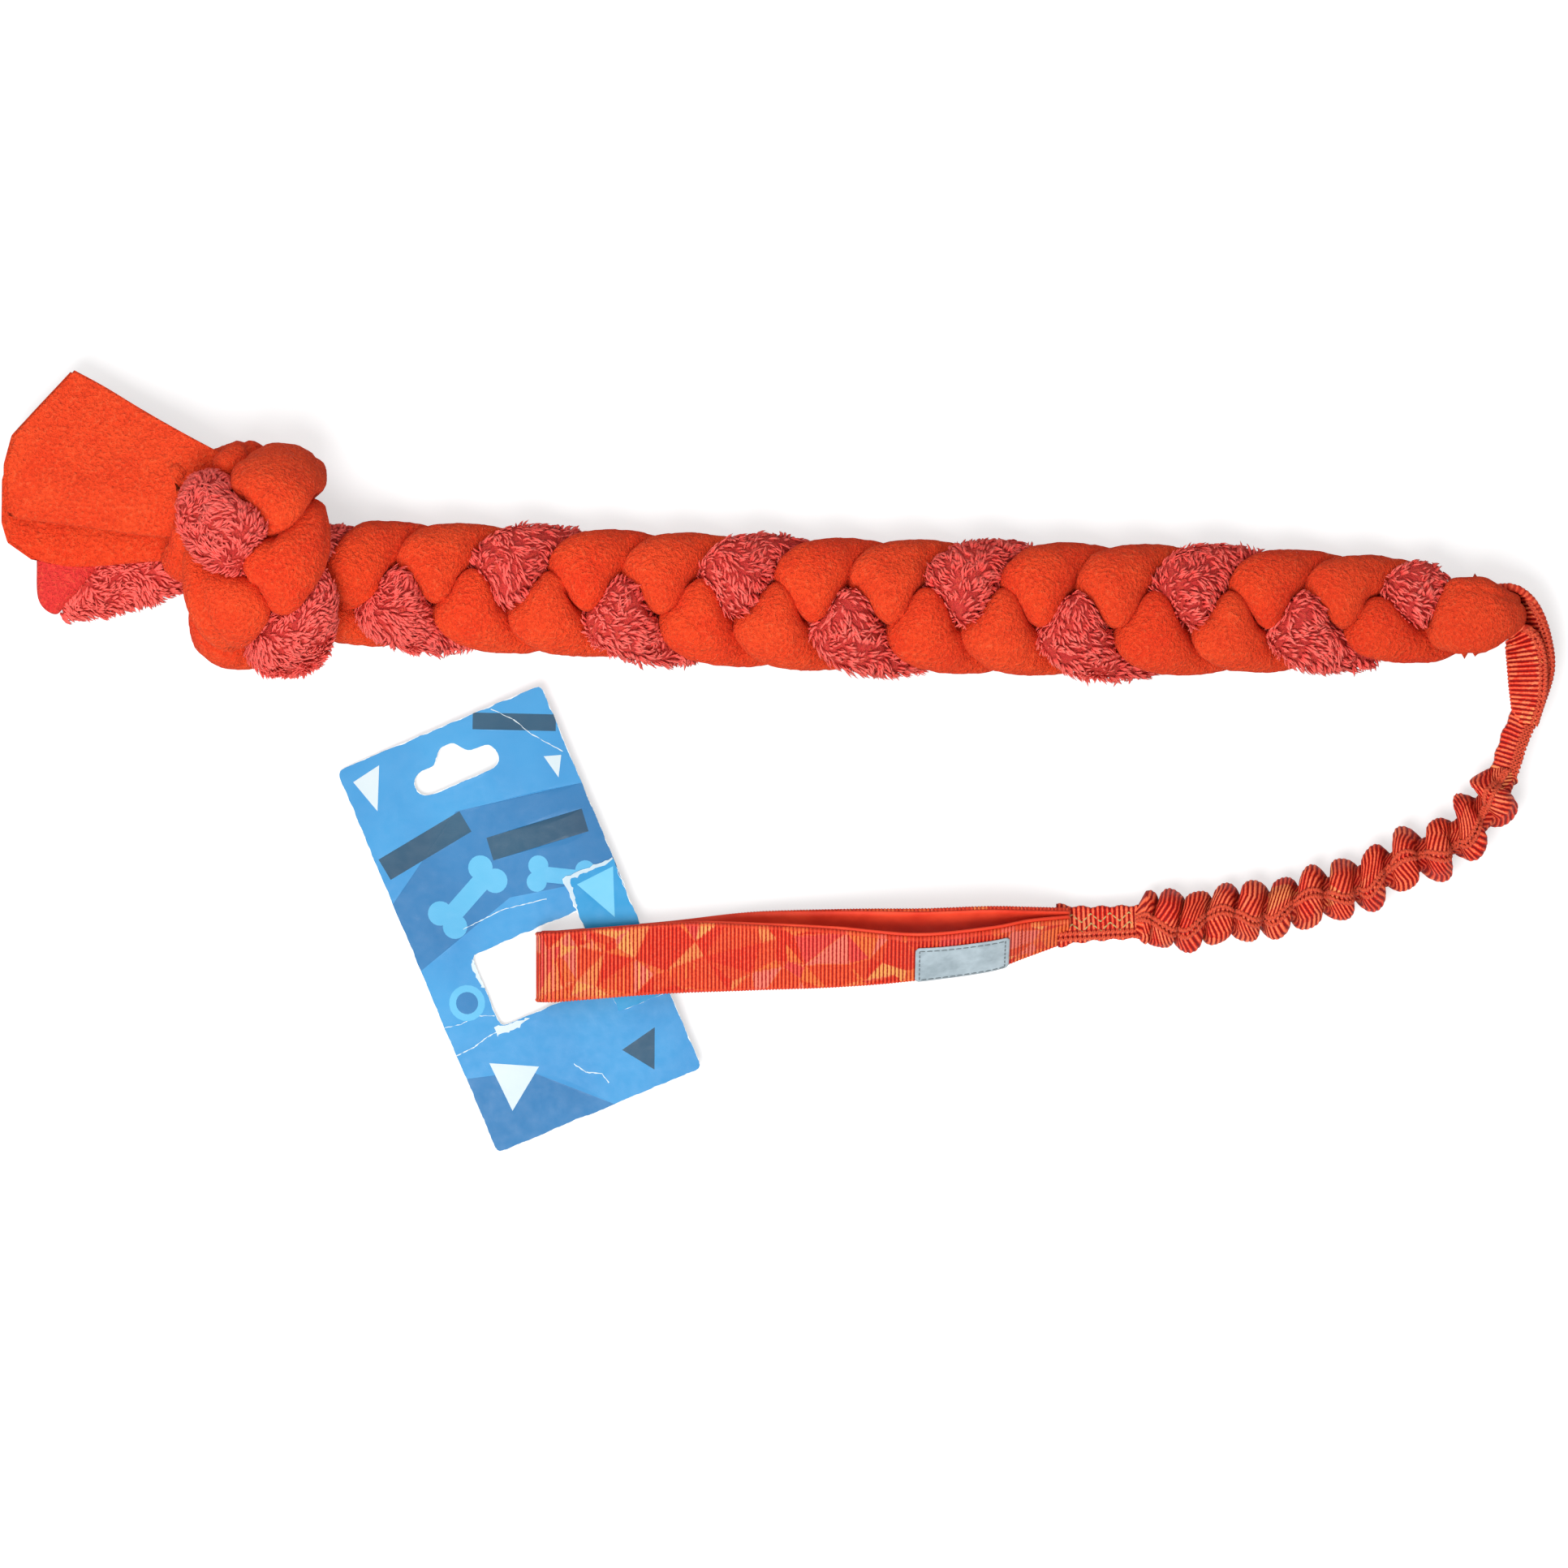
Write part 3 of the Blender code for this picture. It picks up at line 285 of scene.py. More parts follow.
def plait_rows():
    """The plait's rows in the knot's form: place, outward side, spread, rise and turns."""
    shares = np.array(PLAIT_ROUTE_SHARES)
    count = round(4 * PLAIT_LENGTH / PLAIT_PITCH)
    wanted = np.linspace(shares[0, 0], 1, count)
    across, height, size = (np.interp(wanted, shares[:, 0], column) for column in shares.T[1:])
    rows = np.zeros((count, 9))
    rows[:, 0] = KNOT_WIDTH / 2 + wanted * PLAIT_LENGTH
    rows[:, 1] = across * PLAIT_LENGTH
    rows[:, 2] = height * PLAIT_DEPTH
    rows[:, 5] = 1
    rows[:, 6] = size
    rows[:, 7] = size
    rows[:, 8] = PLAIT_START_TURN_SHARE + wanted * PLAIT_LENGTH / PLAIT_PITCH
    return rows


def plaited_strand(line, lag_share, pile):
    """Rows of one strand in the bundle: place, outward side, half width, half depth, gap, fill."""
    outward, sideways = frames(line[:, :3], line[:, 3:6])
    along = np.cross(sideways, outward)
    turn = 2 * math.pi * (line[:, 8:9] - lag_share)
    reach = (PLAIT_WIDTH - STRAND_WIDTH) / 2 * line[:, 6:7]
    lift = (PLAIT_DEPTH - STRAND_DEPTH) / 2 * line[:, 7:8]
    place = line[:, :3] + sideways * reach * np.sin(turn) + outward * lift * np.sin(2 * turn)
    place -= along * PLAIT_SKEW * np.sin(2 * turn)
    size = np.clip(line[:, 6:7], 0.8, 1.1)
    half_width = STRAND_WIDTH / 2 * size + pile
    half_depth = STRAND_DEPTH / 2 * size + pile
    knotted = np.clip(1.5 - line[:, 0:1] / KNOT_WIDTH, 0, 1)
    gap = STRAND_GAP + (KNOT_STRAND_GAP - STRAND_GAP) * knotted
    return np.column_stack([place, outward, half_width, half_depth, gap, -np.sin(turn)])


def tail_rows(shares, depth):
    """A tail's rows, from its cut end to just before the knot."""
    shares = np.array(shares)
    knot = knot_rows()[0]
    rows = np.zeros((len(shares), 10))
    rows[:, 0] = knot[0] - shares[:, 0] * TAIL_LENGTH
    rows[:, 1] = knot[1] + shares[:, 1] * TAIL_WIDTH
    rows[:, 2] = shares[:, 2] * KNOT_HEIGHT
    rows[:, 5] = 1
    rows[:, 6] = shares[:, 3] * TAIL_WIDTH
    rows[:, 7] = depth / 2
    rows[:, 8] = STRAND_GAP
    return rows


def eye_centre():
    """Middle of the eye's bend, in the plait's end."""
    end = plait_rows()[-1]
    height = EYE_RADIUS + EYE_STRAND_DEPTH / 2
    return Vector((end[0] + 2.15 * EYE_RADIUS, end[1] - 0.2 * EYE_RADIUS, height))


def eye_rows(angles, half_width):
    """Rows round the eye's bend at these angles above its middle."""
    centre = eye_centre()
    rows = np.zeros((len(angles), 10))
    for row, angle in zip(rows, angles):
        row[3:6] = (math.cos(angle), 0, math.sin(angle))
        row[:3] = centre + EYE_RADIUS * Vector(row[3:6])
        row[6:] = (half_width, EYE_STRAND_DEPTH / 2, STRAND_GAP, 0)
    return rows


def eye_leg(reach_share, height_share, side_share, width_share):
    """One row on the way into the eye, placed from the eye's middle."""
    centre = eye_centre()
    place = centre + EYE_RADIUS * Vector((-reach_share, side_share, height_share))
    half_width = EYE_STRAND_WIDTH / 2 * width_share
    return np.array([[*place, 0, 0, 1, half_width, EYE_STRAND_DEPTH / 2, STRAND_GAP, 0]])


def joined(before, middle, after):
    """A strand's dense middle rows with a smooth run on at each end."""
    reach = max(2, len(middle) // 40)
    found = [middle]
    if len(before):
        lead = spline(np.vstack([before, middle[0], middle[reach]]), 8)
        found.insert(0, lead[: 8 * len(before)])
    if len(after):
        lead = spline(np.vstack([middle[-1 - reach], middle[-1], after]), 8)
        found.append(lead[9:])
    return np.vstack(found)


def strand_rows():
    """The three strands, each from its tail's cut end to the eye."""
    line = evenly(spline(np.vstack([knot_rows(), plait_rows()]), 12), STRAND_STEP / 3)
    upper = tail_rows(UPPER_TAIL_SHARES, FLEECE_FOLD_DEPTH)
    lower = tail_rows(LOWER_TAIL_SHARES, FLEECE_FOLD_DEPTH)
    plush = tail_rows(PLUSH_TAIL_SHARES, PLUSH_TAIL_DEPTH)
    angles = np.radians(np.arange(90, -91, -30))
    bend = eye_rows(angles, EYE_STRAND_WIDTH / 2)
    bend[:, 6] *= 1 - EYE_ROUNDING_SHARE * np.cos(angles)
    over = np.vstack([eye_leg(1.0, 0.95, 0.0, 1.0), bend, eye_leg(0.75, -1.0, 0.0, 1.0)])
    under = np.vstack([eye_leg(1.3, -0.95, 0.05, 1.0), eye_leg(0.84, -1.0, 0.0, 1.0)])
    tucked = np.vstack([eye_leg(1.5, 0.0, 0.0, 0.6), eye_leg(0.8, -0.1, -0.8, 0.5)])
    strands = {
        "fleece_strand_a": joined(upper, plaited_strand(line, 2 / 3, 0), over),
        "fleece_strand_b": joined(lower, plaited_strand(line, 1 / 3, 0), under),
        "plush_strand": joined(plush, plaited_strand(line, 0, PLUSH_PILE), tucked),
    }
    dense = {name: evenly(rows, STRAND_STEP / 3) for name, rows in strands.items()}
    return {name: np.column_stack([rows, run_lengths(rows)]) for name, rows in dense.items()}


def skeleton(rows):
    """Points over the flat middle of each section, with their distance along the strand."""
    _, sideways = frames(rows[:, :3], rows[:, 3:6])
    found = []
    for place, side, size, run in zip(rows[:, :3], sideways, rows[:, 6:8], rows[:, 10]):
        reach = max(size[0] - size[1], 0)
        count = 2 * math.ceil(reach / STRAND_STEP * 3) + 1
        for offset in np.linspace(-reach, reach, count):
            found.append([*(place + side * offset), run])
    return np.array(found)


# Cloth, fuller than the solids where strands press together
RING_STEP = 0.0019
RING_SIDES = 28
BEND_LIMIT = 0.0042
FULLER_DEPTH = 1.08
FULLER_FILL = 0.60
END_LENGTH = 0.035
LOWEST_RING = 0.0004
FLOOR_GAP = 0.0002
LOWEST = 0.0001


def nearest(points, others):
    """Distance from each point to the nearest of the others, and which one that is."""
    others = others[:, :3]
    spans = (points**2).sum(axis=1)[:, None] + (others**2).sum(axis=1)[None] - 2 * points @ others.T
    return np.sqrt(np.maximum(spans.min(axis=1), 0)), spans.argmin(axis=1)


def room(place, rays, run, gap, own, others, balls):
    """How much of each ray stays nearer its own strand than any other, and clear of the balls."""
    steps = np.linspace(0.08, 1, 14)
    points = (place + steps[:, None, None] * rays).reshape(-1, 3)
    reach = 2.6 * np.linalg.norm(rays, axis=1).max()
    own, others, balls = (
        spots[np.linalg.norm(spots[:, :3] - place, axis=1) < reach]
        for spots in (own, others, balls)
    )
    beside = np.abs(own[:, 3] - run) < 4 * STRAND_STEP
    near, far = own[beside], np.vstack([own[~beside], others])
    distance, index = nearest(points, near)
    spare = BEND_LIMIT - np.abs(near[index, 3] - run)
    if len(far):
        spare = np.minimum(spare, nearest(points, far)[0] - distance - gap)
    if len(balls):
        gaps = np.linalg.norm(points[:, None] - balls[None, :, :3], axis=2) - balls[:, 3]
        spare = np.minimum(spare, gaps.min(axis=1))
    spare = spare.reshape(len(steps), len(rays))
    blocked = spare < 0
    stop = np.where(blocked.any(axis=0), blocked.argmax(axis=0), len(steps))
    shares = np.ones(len(rays))
    for k, s in enumerate(stop):
        if s == 0:
            shares[k] = steps[0] / 2
        elif s < len(steps):
            low, high = spare[s - 1, k], spare[s, k]
            shares[k] = steps[s - 1] + (steps[s] - steps[s - 1]) * low / (low - high)
    return shares


def packed(rows_of, name, gap, balls):
    """Rings of one strand, pressed against its neighbours: [ring, side, xyz]."""
    rows = evenly(rows_of[name], RING_STEP)
    own = skeleton(rows_of[name])
    others = np.vstack([skeleton(other) for key, other in rows_of.items() if key != name])
    outward, sideways = frames(rows[:, :3], rows[:, 3:6])
    angles = 2 * math.pi * np.arange(RING_SIDES) / RING_SIDES
    rays = np.zeros((len(rows), RING_SIDES, 3))
    shares = np.zeros((len(rows), RING_SIDES))
    for i, (row, out, side) in enumerate(zip(rows, outward, sideways)):
        flat = np.interp(row[6] / row[7], (1.8, 2.6), (1, 0.55))
        depth = np.interp(row[6] / row[7], (1.8, 2.6), (FULLER_DEPTH, 1))
        across, up = squarer(np.cos(angles), flat), squarer(np.sin(angles), flat)
        filled = 1 + FULLER_FILL * np.maximum(across * row[9], 0)
        rays[i] = np.outer(across * filled * row[6], side) + np.outer(up * row[7] * depth, out)
        shares[i] = room(row[:3], rays[i], row[10], gap, own, others, balls)
    # A median over the neighbours: no single ray slips past the webbing at the strand's end
    wide = np.pad(shares, ((3, 3), (0, 0)), mode="edge")
    around = [
        np.roll(wide[k : k + len(shares)], turn, 1) for k in range(7) for turn in range(-2, 3)
    ]
    at_end = rows[:, 0] > rows_of[name][:, 0].max() - END_LENGTH
    shares = np.where(at_end[:, None], np.median(around, axis=0), shares)
    for _ in range(2):
        shares[1:-1] = (shares[:-2] + 2 * shares[1:-1] + shares[2:]) / 4
        shares = (np.roll(shares, 1, 1) + 2 * shares + np.roll(shares, -1, 1)) / 4
    rings = rows[:, None, :3] + rays * shares[:, :, None]
    rings[:, :, 2] = np.maximum(rings[:, :, 2], LOWEST_RING)
    return rings


def neck_place():
    """Where the lead leaves the tug loop: the neck's fore end."""
    centre = eye_centre()
    return centre + Vector((0.62 * LOOP_WIDTH, -0.685 * LOOP_LENGTH, 0))


def tug_loop():
    """Rows of the webbing from the neck through the eye and back: place, lean and half width."""
    shares = np.array(LOOP_ROUTE_SHARES)
    neck = np.array(neck_place())
    rows = np.zeros((len(shares), 5))
    rows[:, 0] = neck[0] + shares[:, 0] * LOOP_WIDTH
    rows[:, 1] = neck[1] + shares[:, 1] * LOOP_LENGTH
    rows[:, 2] = shares[:, 2] * eye_centre().z
    rows[:, 3] = shares[:, 3] * 2 * math.pi
    rows[:, 4] = shares[:, 4] * LOOP_WEB_WIDTH / 2
    return evenly(spline(rows, 8), 1.5 * LOOP_WEB_THICKNESS)


def sleeve_height():
    return SLEEVE_CORE_DIAMETER / 2 + RUFFLE_HEIGHT - RESTING_CUT


def lead_line():
    """The lead's middle line from the tug loop to the hand loop, and its run in a fourth column."""
    shares = spline(LEAD_ROUTE_SHARES, 8)
    start = neck_place()
    flat = np.column_stack([start.x - shares[:, 0] * LEAD_SPAN, start.y - shares[:, 1] * LEAD_DROP])
    runs = run_lengths(flat)
    ends = (0, FORE_NECK_LENGTH, runs[-1] - AFT_NECK_LENGTH, runs[-1])
    loop_height = LOOP_ROUTE_SHARES[0][2] * eye_centre().z
    heights = (loop_height, sleeve_height(), sleeve_height(), hand_height(1.0))
    return np.column_stack([flat, np.interp(runs, ends, heights), runs])


def lead_rows(start, end, step):
    """Evenly spaced rows of the lead between two runs."""
    line = lead_line()
    count = max(2, round((end - start) / step))
    runs = np.linspace(start, end, count + 1)
    return np.column_stack([np.interp(runs, line[:, 3], column) for column in line.T])


def ruffle_phase(runs, length):
    """Turns of the ruffle made by each run, as its pitch shortens along the sleeve."""
    share = runs / length
    mean = RUFFLE_FIRST_PITCH + (RUFFLE_LAST_PITCH - RUFFLE_FIRST_PITCH) * share / 2
    return runs / mean


def strap_reach(opening_share):
    """Middle of the outer strap from the hand loop's spine."""
    clear = HAND_OPENING / 2 * opening_share
    return clear + LINING_THICKNESS + TOUCH_GAP + STRAP_THICKNESS / 2


def hand_row(share):
    """The hand loop at a share of its length: across share, lean, opening share and width share."""
    across, lean, opening, width = (
        np.interp(share, HAND_STATIONS[:, 0], column) for column in HAND_STATIONS.T[1:]
    )
    return across, math.radians(lean), opening, width


def hand_height(share):
    """Height of the hand loop's spine, whose lower strap rests on the table."""
    _, lean, opening, width = hand_row(share)
    reach = strap_reach(opening) + STRAP_THICKNESS / 2
    return STRAP_WIDTH / 2 * width * math.sin(lean) + reach * math.cos(lean)


def hand_bend():
    """Outermost middle of the hand loop's bend."""
    end = lead_line()[-1]
    across = HAND_STATION_SHARES[-1][1] - HAND_STATION_SHARES[0][1]
    x = end[0] - TOUCH_GAP - HAND_LENGTH
    return Vector((x, end[1] - across * HAND_LENGTH, hand_height(0.0)))


HAND_STATIONS = spline(HAND_STATION_SHARES, 6)
HAND_BEND = hand_bend()


def hand_station(share):
    """Spine place, width direction and upper face's direction of the hand loop."""
    bend = HAND_BEND
    across, lean, _, _ = hand_row(share)
    round_end = strap_reach(1.0) + STRAP_THICKNESS / 2
    along = bend.x + round_end + share * (HAND_LENGTH - round_end)
    place = np.array((along, bend.y + across * HAND_LENGTH, hand_height(share)))
    width = np.array((0, math.cos(lean), math.sin(lean)))
    return place, width, np.array((0, -math.sin(lean), math.cos(lean)))


def strap_stations(inset, width, lip, step):
    """Middle, width direction, face and half width along the hand loop: top, bend, underneath."""
    shares = np.linspace(1, 0, round(HAND_LENGTH / step))
    radius = strap_reach(1.0) - inset
    found = []
    for side, run in ((1, shares), (-1, shares[::-1])):
        for share in run:
            place, across, face = hand_station(share)
            _, _, opening, width_share = hand_row(share)
            middle = place + face * side * (strap_reach(opening) - inset) + across * lip
            found.append((middle, across, face * side, width / 2 * width_share))
        if side > 0:
            place, across, face = hand_station(0.0)
            count = round(math.pi * radius / step)
            for angle in np.linspace(0, math.pi, count + 1)[1:-1]:
                out = face * math.cos(angle) - np.array((1.0, 0, 0)) * math.sin(angle)
                found.append((place + out * radius + across * lip, across, out, width / 2))
    return found


def rounded(corners, radius, steps):
    """A polygon's outline with its corners rounded."""
    found = []
    for i, corner in enumerate(corners):
        here = Vector(corner)
        before = (Vector(corners[i - 1]) - here).normalized()
        after = (Vector(corners[(i + 1) % len(corners)]) - here).normalized()
        for t in np.linspace(0, 1, steps + 1):
            start, end = here + before * radius, here + after * radius
            found.append(start * (1 - t) ** 2 + here * 2 * t * (1 - t) + end * t**2)
    return found


def card_outline():
    """The card with its window, which is open to the right edge."""
    foot = -WINDOW_TOP - WINDOW_HEIGHT
    corners = (
        (0, 0),
        (CARD_WIDTH, 0),
        (CARD_WIDTH, -WINDOW_TOP),
        (WINDOW_SIDE, -WINDOW_TOP),
        (WINDOW_SIDE, foot),
        (CARD_WIDTH, foot),
        (CARD_WIDTH, -CARD_LENGTH),
        (0, -CARD_LENGTH),
    )
    return rounded(corners, CARD_CORNER, 3)


def card_frame():
    """The card's corner on the table, its turn and its tilt, held round the hand loop."""
    hold = Vector((CARD_WIDTH * CARD_HOLD_SHARES[0], -CARD_LENGTH * CARD_HOLD_SHARES[1]))
    turn = Matrix.Rotation(CARD_TURN, 3, "Z")
    bend = hand_bend()
    corner = Vector((bend.x, bend.y, 0)) - turn @ hold.to_3d()
    placed = Matrix.Translation(corner) @ turn.to_4x4()
    return placed @ Matrix.Rotation(-CARD_TILT, 4, "Y")


# Meshes


def finer(rings):
    """Rings with twice the rows and sides, on smooth curves through the given ones."""
    turned = [np.roll(rings, turn, 1) for turn in (1, 0, -1, -2)]
    rings = np.stack([cubic(*turned, t) for t in (0, 0.5)], axis=2)
    rings = rings.reshape(len(rings), -1, rings.shape[-1])
    padded = np.concatenate([2 * rings[:1] - rings[1:2], rings, 2 * rings[-1:] - rings[-2:-1]])
    four = padded[:-3], padded[1:-2], padded[2:-1], padded[3:]
    rows = np.stack([cubic(*four, t) for t in (0, 0.5)], axis=1)
    return np.concatenate([rows.reshape(-1, *rings.shape[1:]), rings[-1:]])


def hashed(cells, seed):
    """A number from 0 to 1 for each cell of a grid."""
    mixed = (cells * np.array((73856093, 19349663, 83492791))).sum(axis=-1) + seed * 2654435761
    mixed = (mixed ^ (mixed >> 13)) * 1274126177
    return ((mixed ^ (mixed >> 16)) & 0xFFFF) / 0xFFFF


def lumps(points, size, seed):
    """Smooth noise from 0 to 1 over points, with lumps of one size."""
    scaled = points / size
    cell = np.floor(scaled).astype(np.int64)
    t = scaled - cell
    t = t * t * (3 - 2 * t)
    total = 0
    for corner in np.ndindex(2, 2, 2):
        weight = np.prod(np.where(corner, t, 1 - t), axis=-1)
        total = total + weight * hashed(cell + np.array(corner), seed)
    return total


def normals_of(rings):
    """Outward normals of a grid of rings."""
    around = np.roll(rings, -1, 1) - np.roll(rings, 1, 1)
    normal = np.cross(around, np.gradient(rings, axis=0))
    normal /= np.maximum(np.linalg.norm(normal, axis=2, keepdims=True), 1e-9)
    middle = rings.mean(axis=1, keepdims=True)
    return -normal if np.sum((rings - middle) * normal) < 0 else normal


def grid_faces(rows, sides):
    """Faces round and along a grid of rings."""
    ring, side = np.meshgrid(np.arange(rows - 1), np.arange(sides), indexing="ij")
    a, b = ring * sides + side, ring * sides + (side + 1) % sides
    return np.stack([a, b, b + sides, a + sides], axis=-1).reshape(-1, 4).tolist()


def mesh_piece(name, points, faces, *looks, smooth=True, **values):
    """A mesh in its looks, with named values at its points."""
    mesh = bpy.data.meshes.new(name)
    corners = [list(map(int, face)) for face in faces]
    mesh.from_pydata(np.asarray(points, float).tolist(), [], corners)
    for key, value in values.items():
        attribute = mesh.attributes.new(key, "FLOAT", "POINT")
        attribute.data.foreach_set("value", np.asarray(value, np.float32).ravel())
    if smooth:
        mesh.shade_smooth()
    for look in looks:
        mesh.materials.append(look)
    piece = bpy.data.objects.new(name, mesh)
    bpy.context.scene.collection.objects.link(piece)
    return piece


def tube(name, rings, look, **values):
    """A closed piece through rings, whose ends are fanned shut."""
    rows, sides = rings.shape[:2]
    ends = np.array([rings[0].mean(axis=0), rings[-1].mean(axis=0)])
    faces = grid_faces(rows, sides)
    last = rows * sides
    for k in range(sides):
        follow = (k + 1) % sides
        faces.append((follow, k, last))
        faces.append((last - sides + k, last - sides + follow, last + 1))
    values = {key: np.append(np.asarray(value).ravel(), (0, 0)) for key, value in values.items()}
    piece = mesh_piece(name, np.vstack([rings.reshape(-1, 3), ends]), faces, look, **values)
    middle = rings.mean(axis=1, keepdims=True)
    raw = np.cross(np.roll(rings, -1, 1) - rings, np.gradient(rings, axis=0))
    if np.sum(raw * (rings - middle)) < 0:
        piece.data.flip_normals()
    return piece


# Materials


def linear(*colour):
    """An sRGB colour from 0 to 255, as Blender takes it."""
    shares = (value / 255 for value in colour)
    return tuple(c / 12.92 if c <= 0.04045 else ((c + 0.055) / 1.055) ** 2.4 for c in shares)


class Surface:
    """A material that is written down node by node."""

    def __init__(self, name, roughness, sheen=0.0, tint=(255, 255, 255), specular=0.25):
        self.material = bpy.data.materials.new(name)
        self.material.use_nodes = True
        self.tree = self.material.node_tree
        self.shader = self.tree.nodes["Principled BSDF"]
        settings = {
            "Roughness": roughness,
            "Sheen Weight": sheen,
            "Sheen Roughness": 0.45,
            "Sheen Tint": (*linear(*tint), 1),
            "Specular IOR Level": specular,
        }
        for key, value in settings.items():
            self.shader.inputs[key].default_value = value
        self.place = self.node("ShaderNodeTexCoord").outputs["Object"]

    def node(self, kind, inputs=(), **settings):
        made = self.tree.nodes.new(kind)
        for key, value in settings.items():
            setattr(made, key, value)
        for key, value in dict(inputs).items():
            if isinstance(value, bpy.types.NodeSocket):
                self.tree.links.new(value, made.inputs[key])
            else:
                made.inputs[key].default_value = value
        return made

    def along(self, start, end, low, high):
        """A value that changes with the place along the toy."""
        x = self.node("ShaderNodeSeparateXYZ", {"Vector": self.place}).outputs["X"]
        return self.spread(x, start, end, low, high)

    def noise(self, size, detail=3.0, rough=0.55):
        """Noise with lumps of about one size, in metres."""
        inputs = {"Vector": self.place, "Scale": 1 / size, "Detail": detail, "Roughness": rough}
        return self.node("ShaderNodeTexNoise", inputs).outputs["Fac"]

    def ramp(self, value, *stops, constant=False):
        made = self.node("ShaderNodeValToRGB", {"Fac": value})
        made.color_ramp.interpolation = "CONSTANT" if constant else "LINEAR"
        elements = made.color_ramp.elements
        while len(elements) < len(stops):
            elements.new(0.5)
        for element, (spot, colour) in zip(elements, stops):
            element.position = spot
            element.color = (*linear(*colour), 1)
        return made.outputs["Color"]

    def attribute(self, name):
        return self.node("ShaderNodeAttribute", attribute_name=name).outputs["Fac"]

    def maths(self, operation, a, b):
        return self.node("ShaderNodeMath", {0: a, 1: b}, operation=operation).outputs[0]

    def mixed(self, a, b, share):
        """Colour a going over to b by a share."""
        ends = [x if isinstance(x, bpy.types.NodeSocket) else (*linear(*x), 1) for x in (a, b)]
        inputs = {0: share, 6: ends[0], 7: ends[1]}
        return self.node("ShaderNodeMix", inputs, data_type="RGBA").outputs[2]

    def spread(self, value, low, high, start=0.0, end=1.0):
        """A value from low to high, brought to start to end."""
        inputs = {"Value": value, "From Min": low, "From Max": high, "To Min": start, "To Max": end}
        return self.node("ShaderNodeMapRange", inputs).outputs["Result"]

    def finish(self, colour, height=None, depth=0.0003, strength=0.6, roughness=None):
        self.tree.links.new(colour, self.shader.inputs["Base Color"])
        if roughness is not None:
            self.tree.links.new(roughness, self.shader.inputs["Roughness"])
        if height is not None:
            inputs = {"Height": height, "Distance": depth, "Strength": strength}
            bump = self.node("ShaderNodeBump", inputs)
            self.tree.links.new(bump.outputs["Normal"], self.shader.inputs["Normal"])
        return self.material


def fleece_look(name, bright, dull, dark):
    """Fleece: wear patches, painted shade in the nap's pits, painted nap highlight, painted shade
    toward the lead.
    """
    surface = Surface(name, 0.95, 0.12, (255, 130, 80))
    nap = surface.noise(0.0013, 2.0)
    fine = surface.noise(0.0004, 2.0)
    body = surface.mixed(dull, bright, surface.spread(surface.noise(0.014), 0.35, 0.65))
    # Painted shade: darker where the nap's bump is low, in its pits
    pits = surface.spread(nap, 0.34, 0.54, 1.0, 0.0)
    body = surface.mixed(body, dark, surface.maths("MULTIPLY", pits, 0.30))
    # Painted highlight: paler where the nap's bump is high
    body = surface.mixed(body, (255, 124, 76), surface.spread(nap, 0.54, 0.72, 0.0, 0.30))
    # Painted shade: darker toward the lead, where less light falls
    body = surface.mixed(body, dark, surface.along(-0.05, 0.27, 0.0, 0.22))
    height = surface.maths("ADD", nap, surface.maths("MULTIPLY", fine, 0.35))
    return surface.finish(body, height, 0.0022, 0.95)


def plush_look(name, deep, middle, lighter):
    """Pile: painted shade at each tuft's root, painted highlight at its tip, painted light toward
    the tails.
    """
    surface = Surface(name, 0.85, 0.1, (255, 150, 130))
    # Painted shade at each tuft's root and painted highlight at its tip
    body = surface.ramp(surface.attribute("tip"), (0.0, deep), (0.35, middle), (1.0, lighter))
    tufts = surface.spread(surface.attribute("shade"), 0.4, 1, 0.0, 0.35)
    body = surface.mixed(body, (255, 138, 128), tufts)
    body = surface.mixed(body, middle, surface.spread(surface.noise(0.02), 0.4, 0.7, 0.0, 0.5))
    # Painted light: paler toward the tails, where more light falls
    body = surface.mixed(body, (255, 104, 96), surface.along(-0.16, -0.02, 0.48, 0.0))
    return surface.finish(body, surface.noise(0.0003, 2.0), 0.0002, 0.5)


def webbing_look(name, rib_valley_shade, glint, stops, open_share, shine):
    """Printed grosgrain: painted shade between its ribs and in its tucks, painted rib glints, and
    cord along its edges.
    """
    surface = Surface(name, 0.6, 0.05, (255, 120, 80), 0.2)
    printed = surface.ramp(surface.attribute("shard"), *stops, constant=True)
    rib = surface.maths("PINGPONG", surface.attribute("phase"), 0.5)
    wear = surface.spread(surface.noise(0.0007, 2.0), 0.3, 0.7, -0.07, 0.07)
    # worn is the rib mask roughened by noise; it sets the painted shade and painted glint below
    worn = surface.maths("ADD", rib, wear)
    # Painted shade between the ribs
    body = surface.mixed(rib_valley_shade, printed, surface.spread(worn, *open_share))
    # Painted highlight: a glint on the rib crests
    body = surface.mixed(body, glint, surface.spread(worn, 0.36, 0.5, 0.0, shine))
    edge = surface.maths("MULTIPLY", surface.attribute("edge"), 0.65)
    body = surface.mixed(body, (216, 66, 40), edge)
    # Painted shade in the tucks, where the folds crowd together
    tuck = surface.maths("MULTIPLY", surface.attribute("tuck"), 0.9)
    body = surface.mixed(body, (124, 4, 2), tuck)
    yarn = surface.noise(0.00025, 2.0)
    ribs = surface.maths("MULTIPLY", rib, 2.0)
    height = surface.maths("ADD", ribs, surface.maths("MULTIPLY", yarn, 0.4))
    rough = surface.spread(yarn, 0.3, 0.7, 0.5, 0.72)
    return surface.finish(body, height, 0.0003, 0.7, rough)


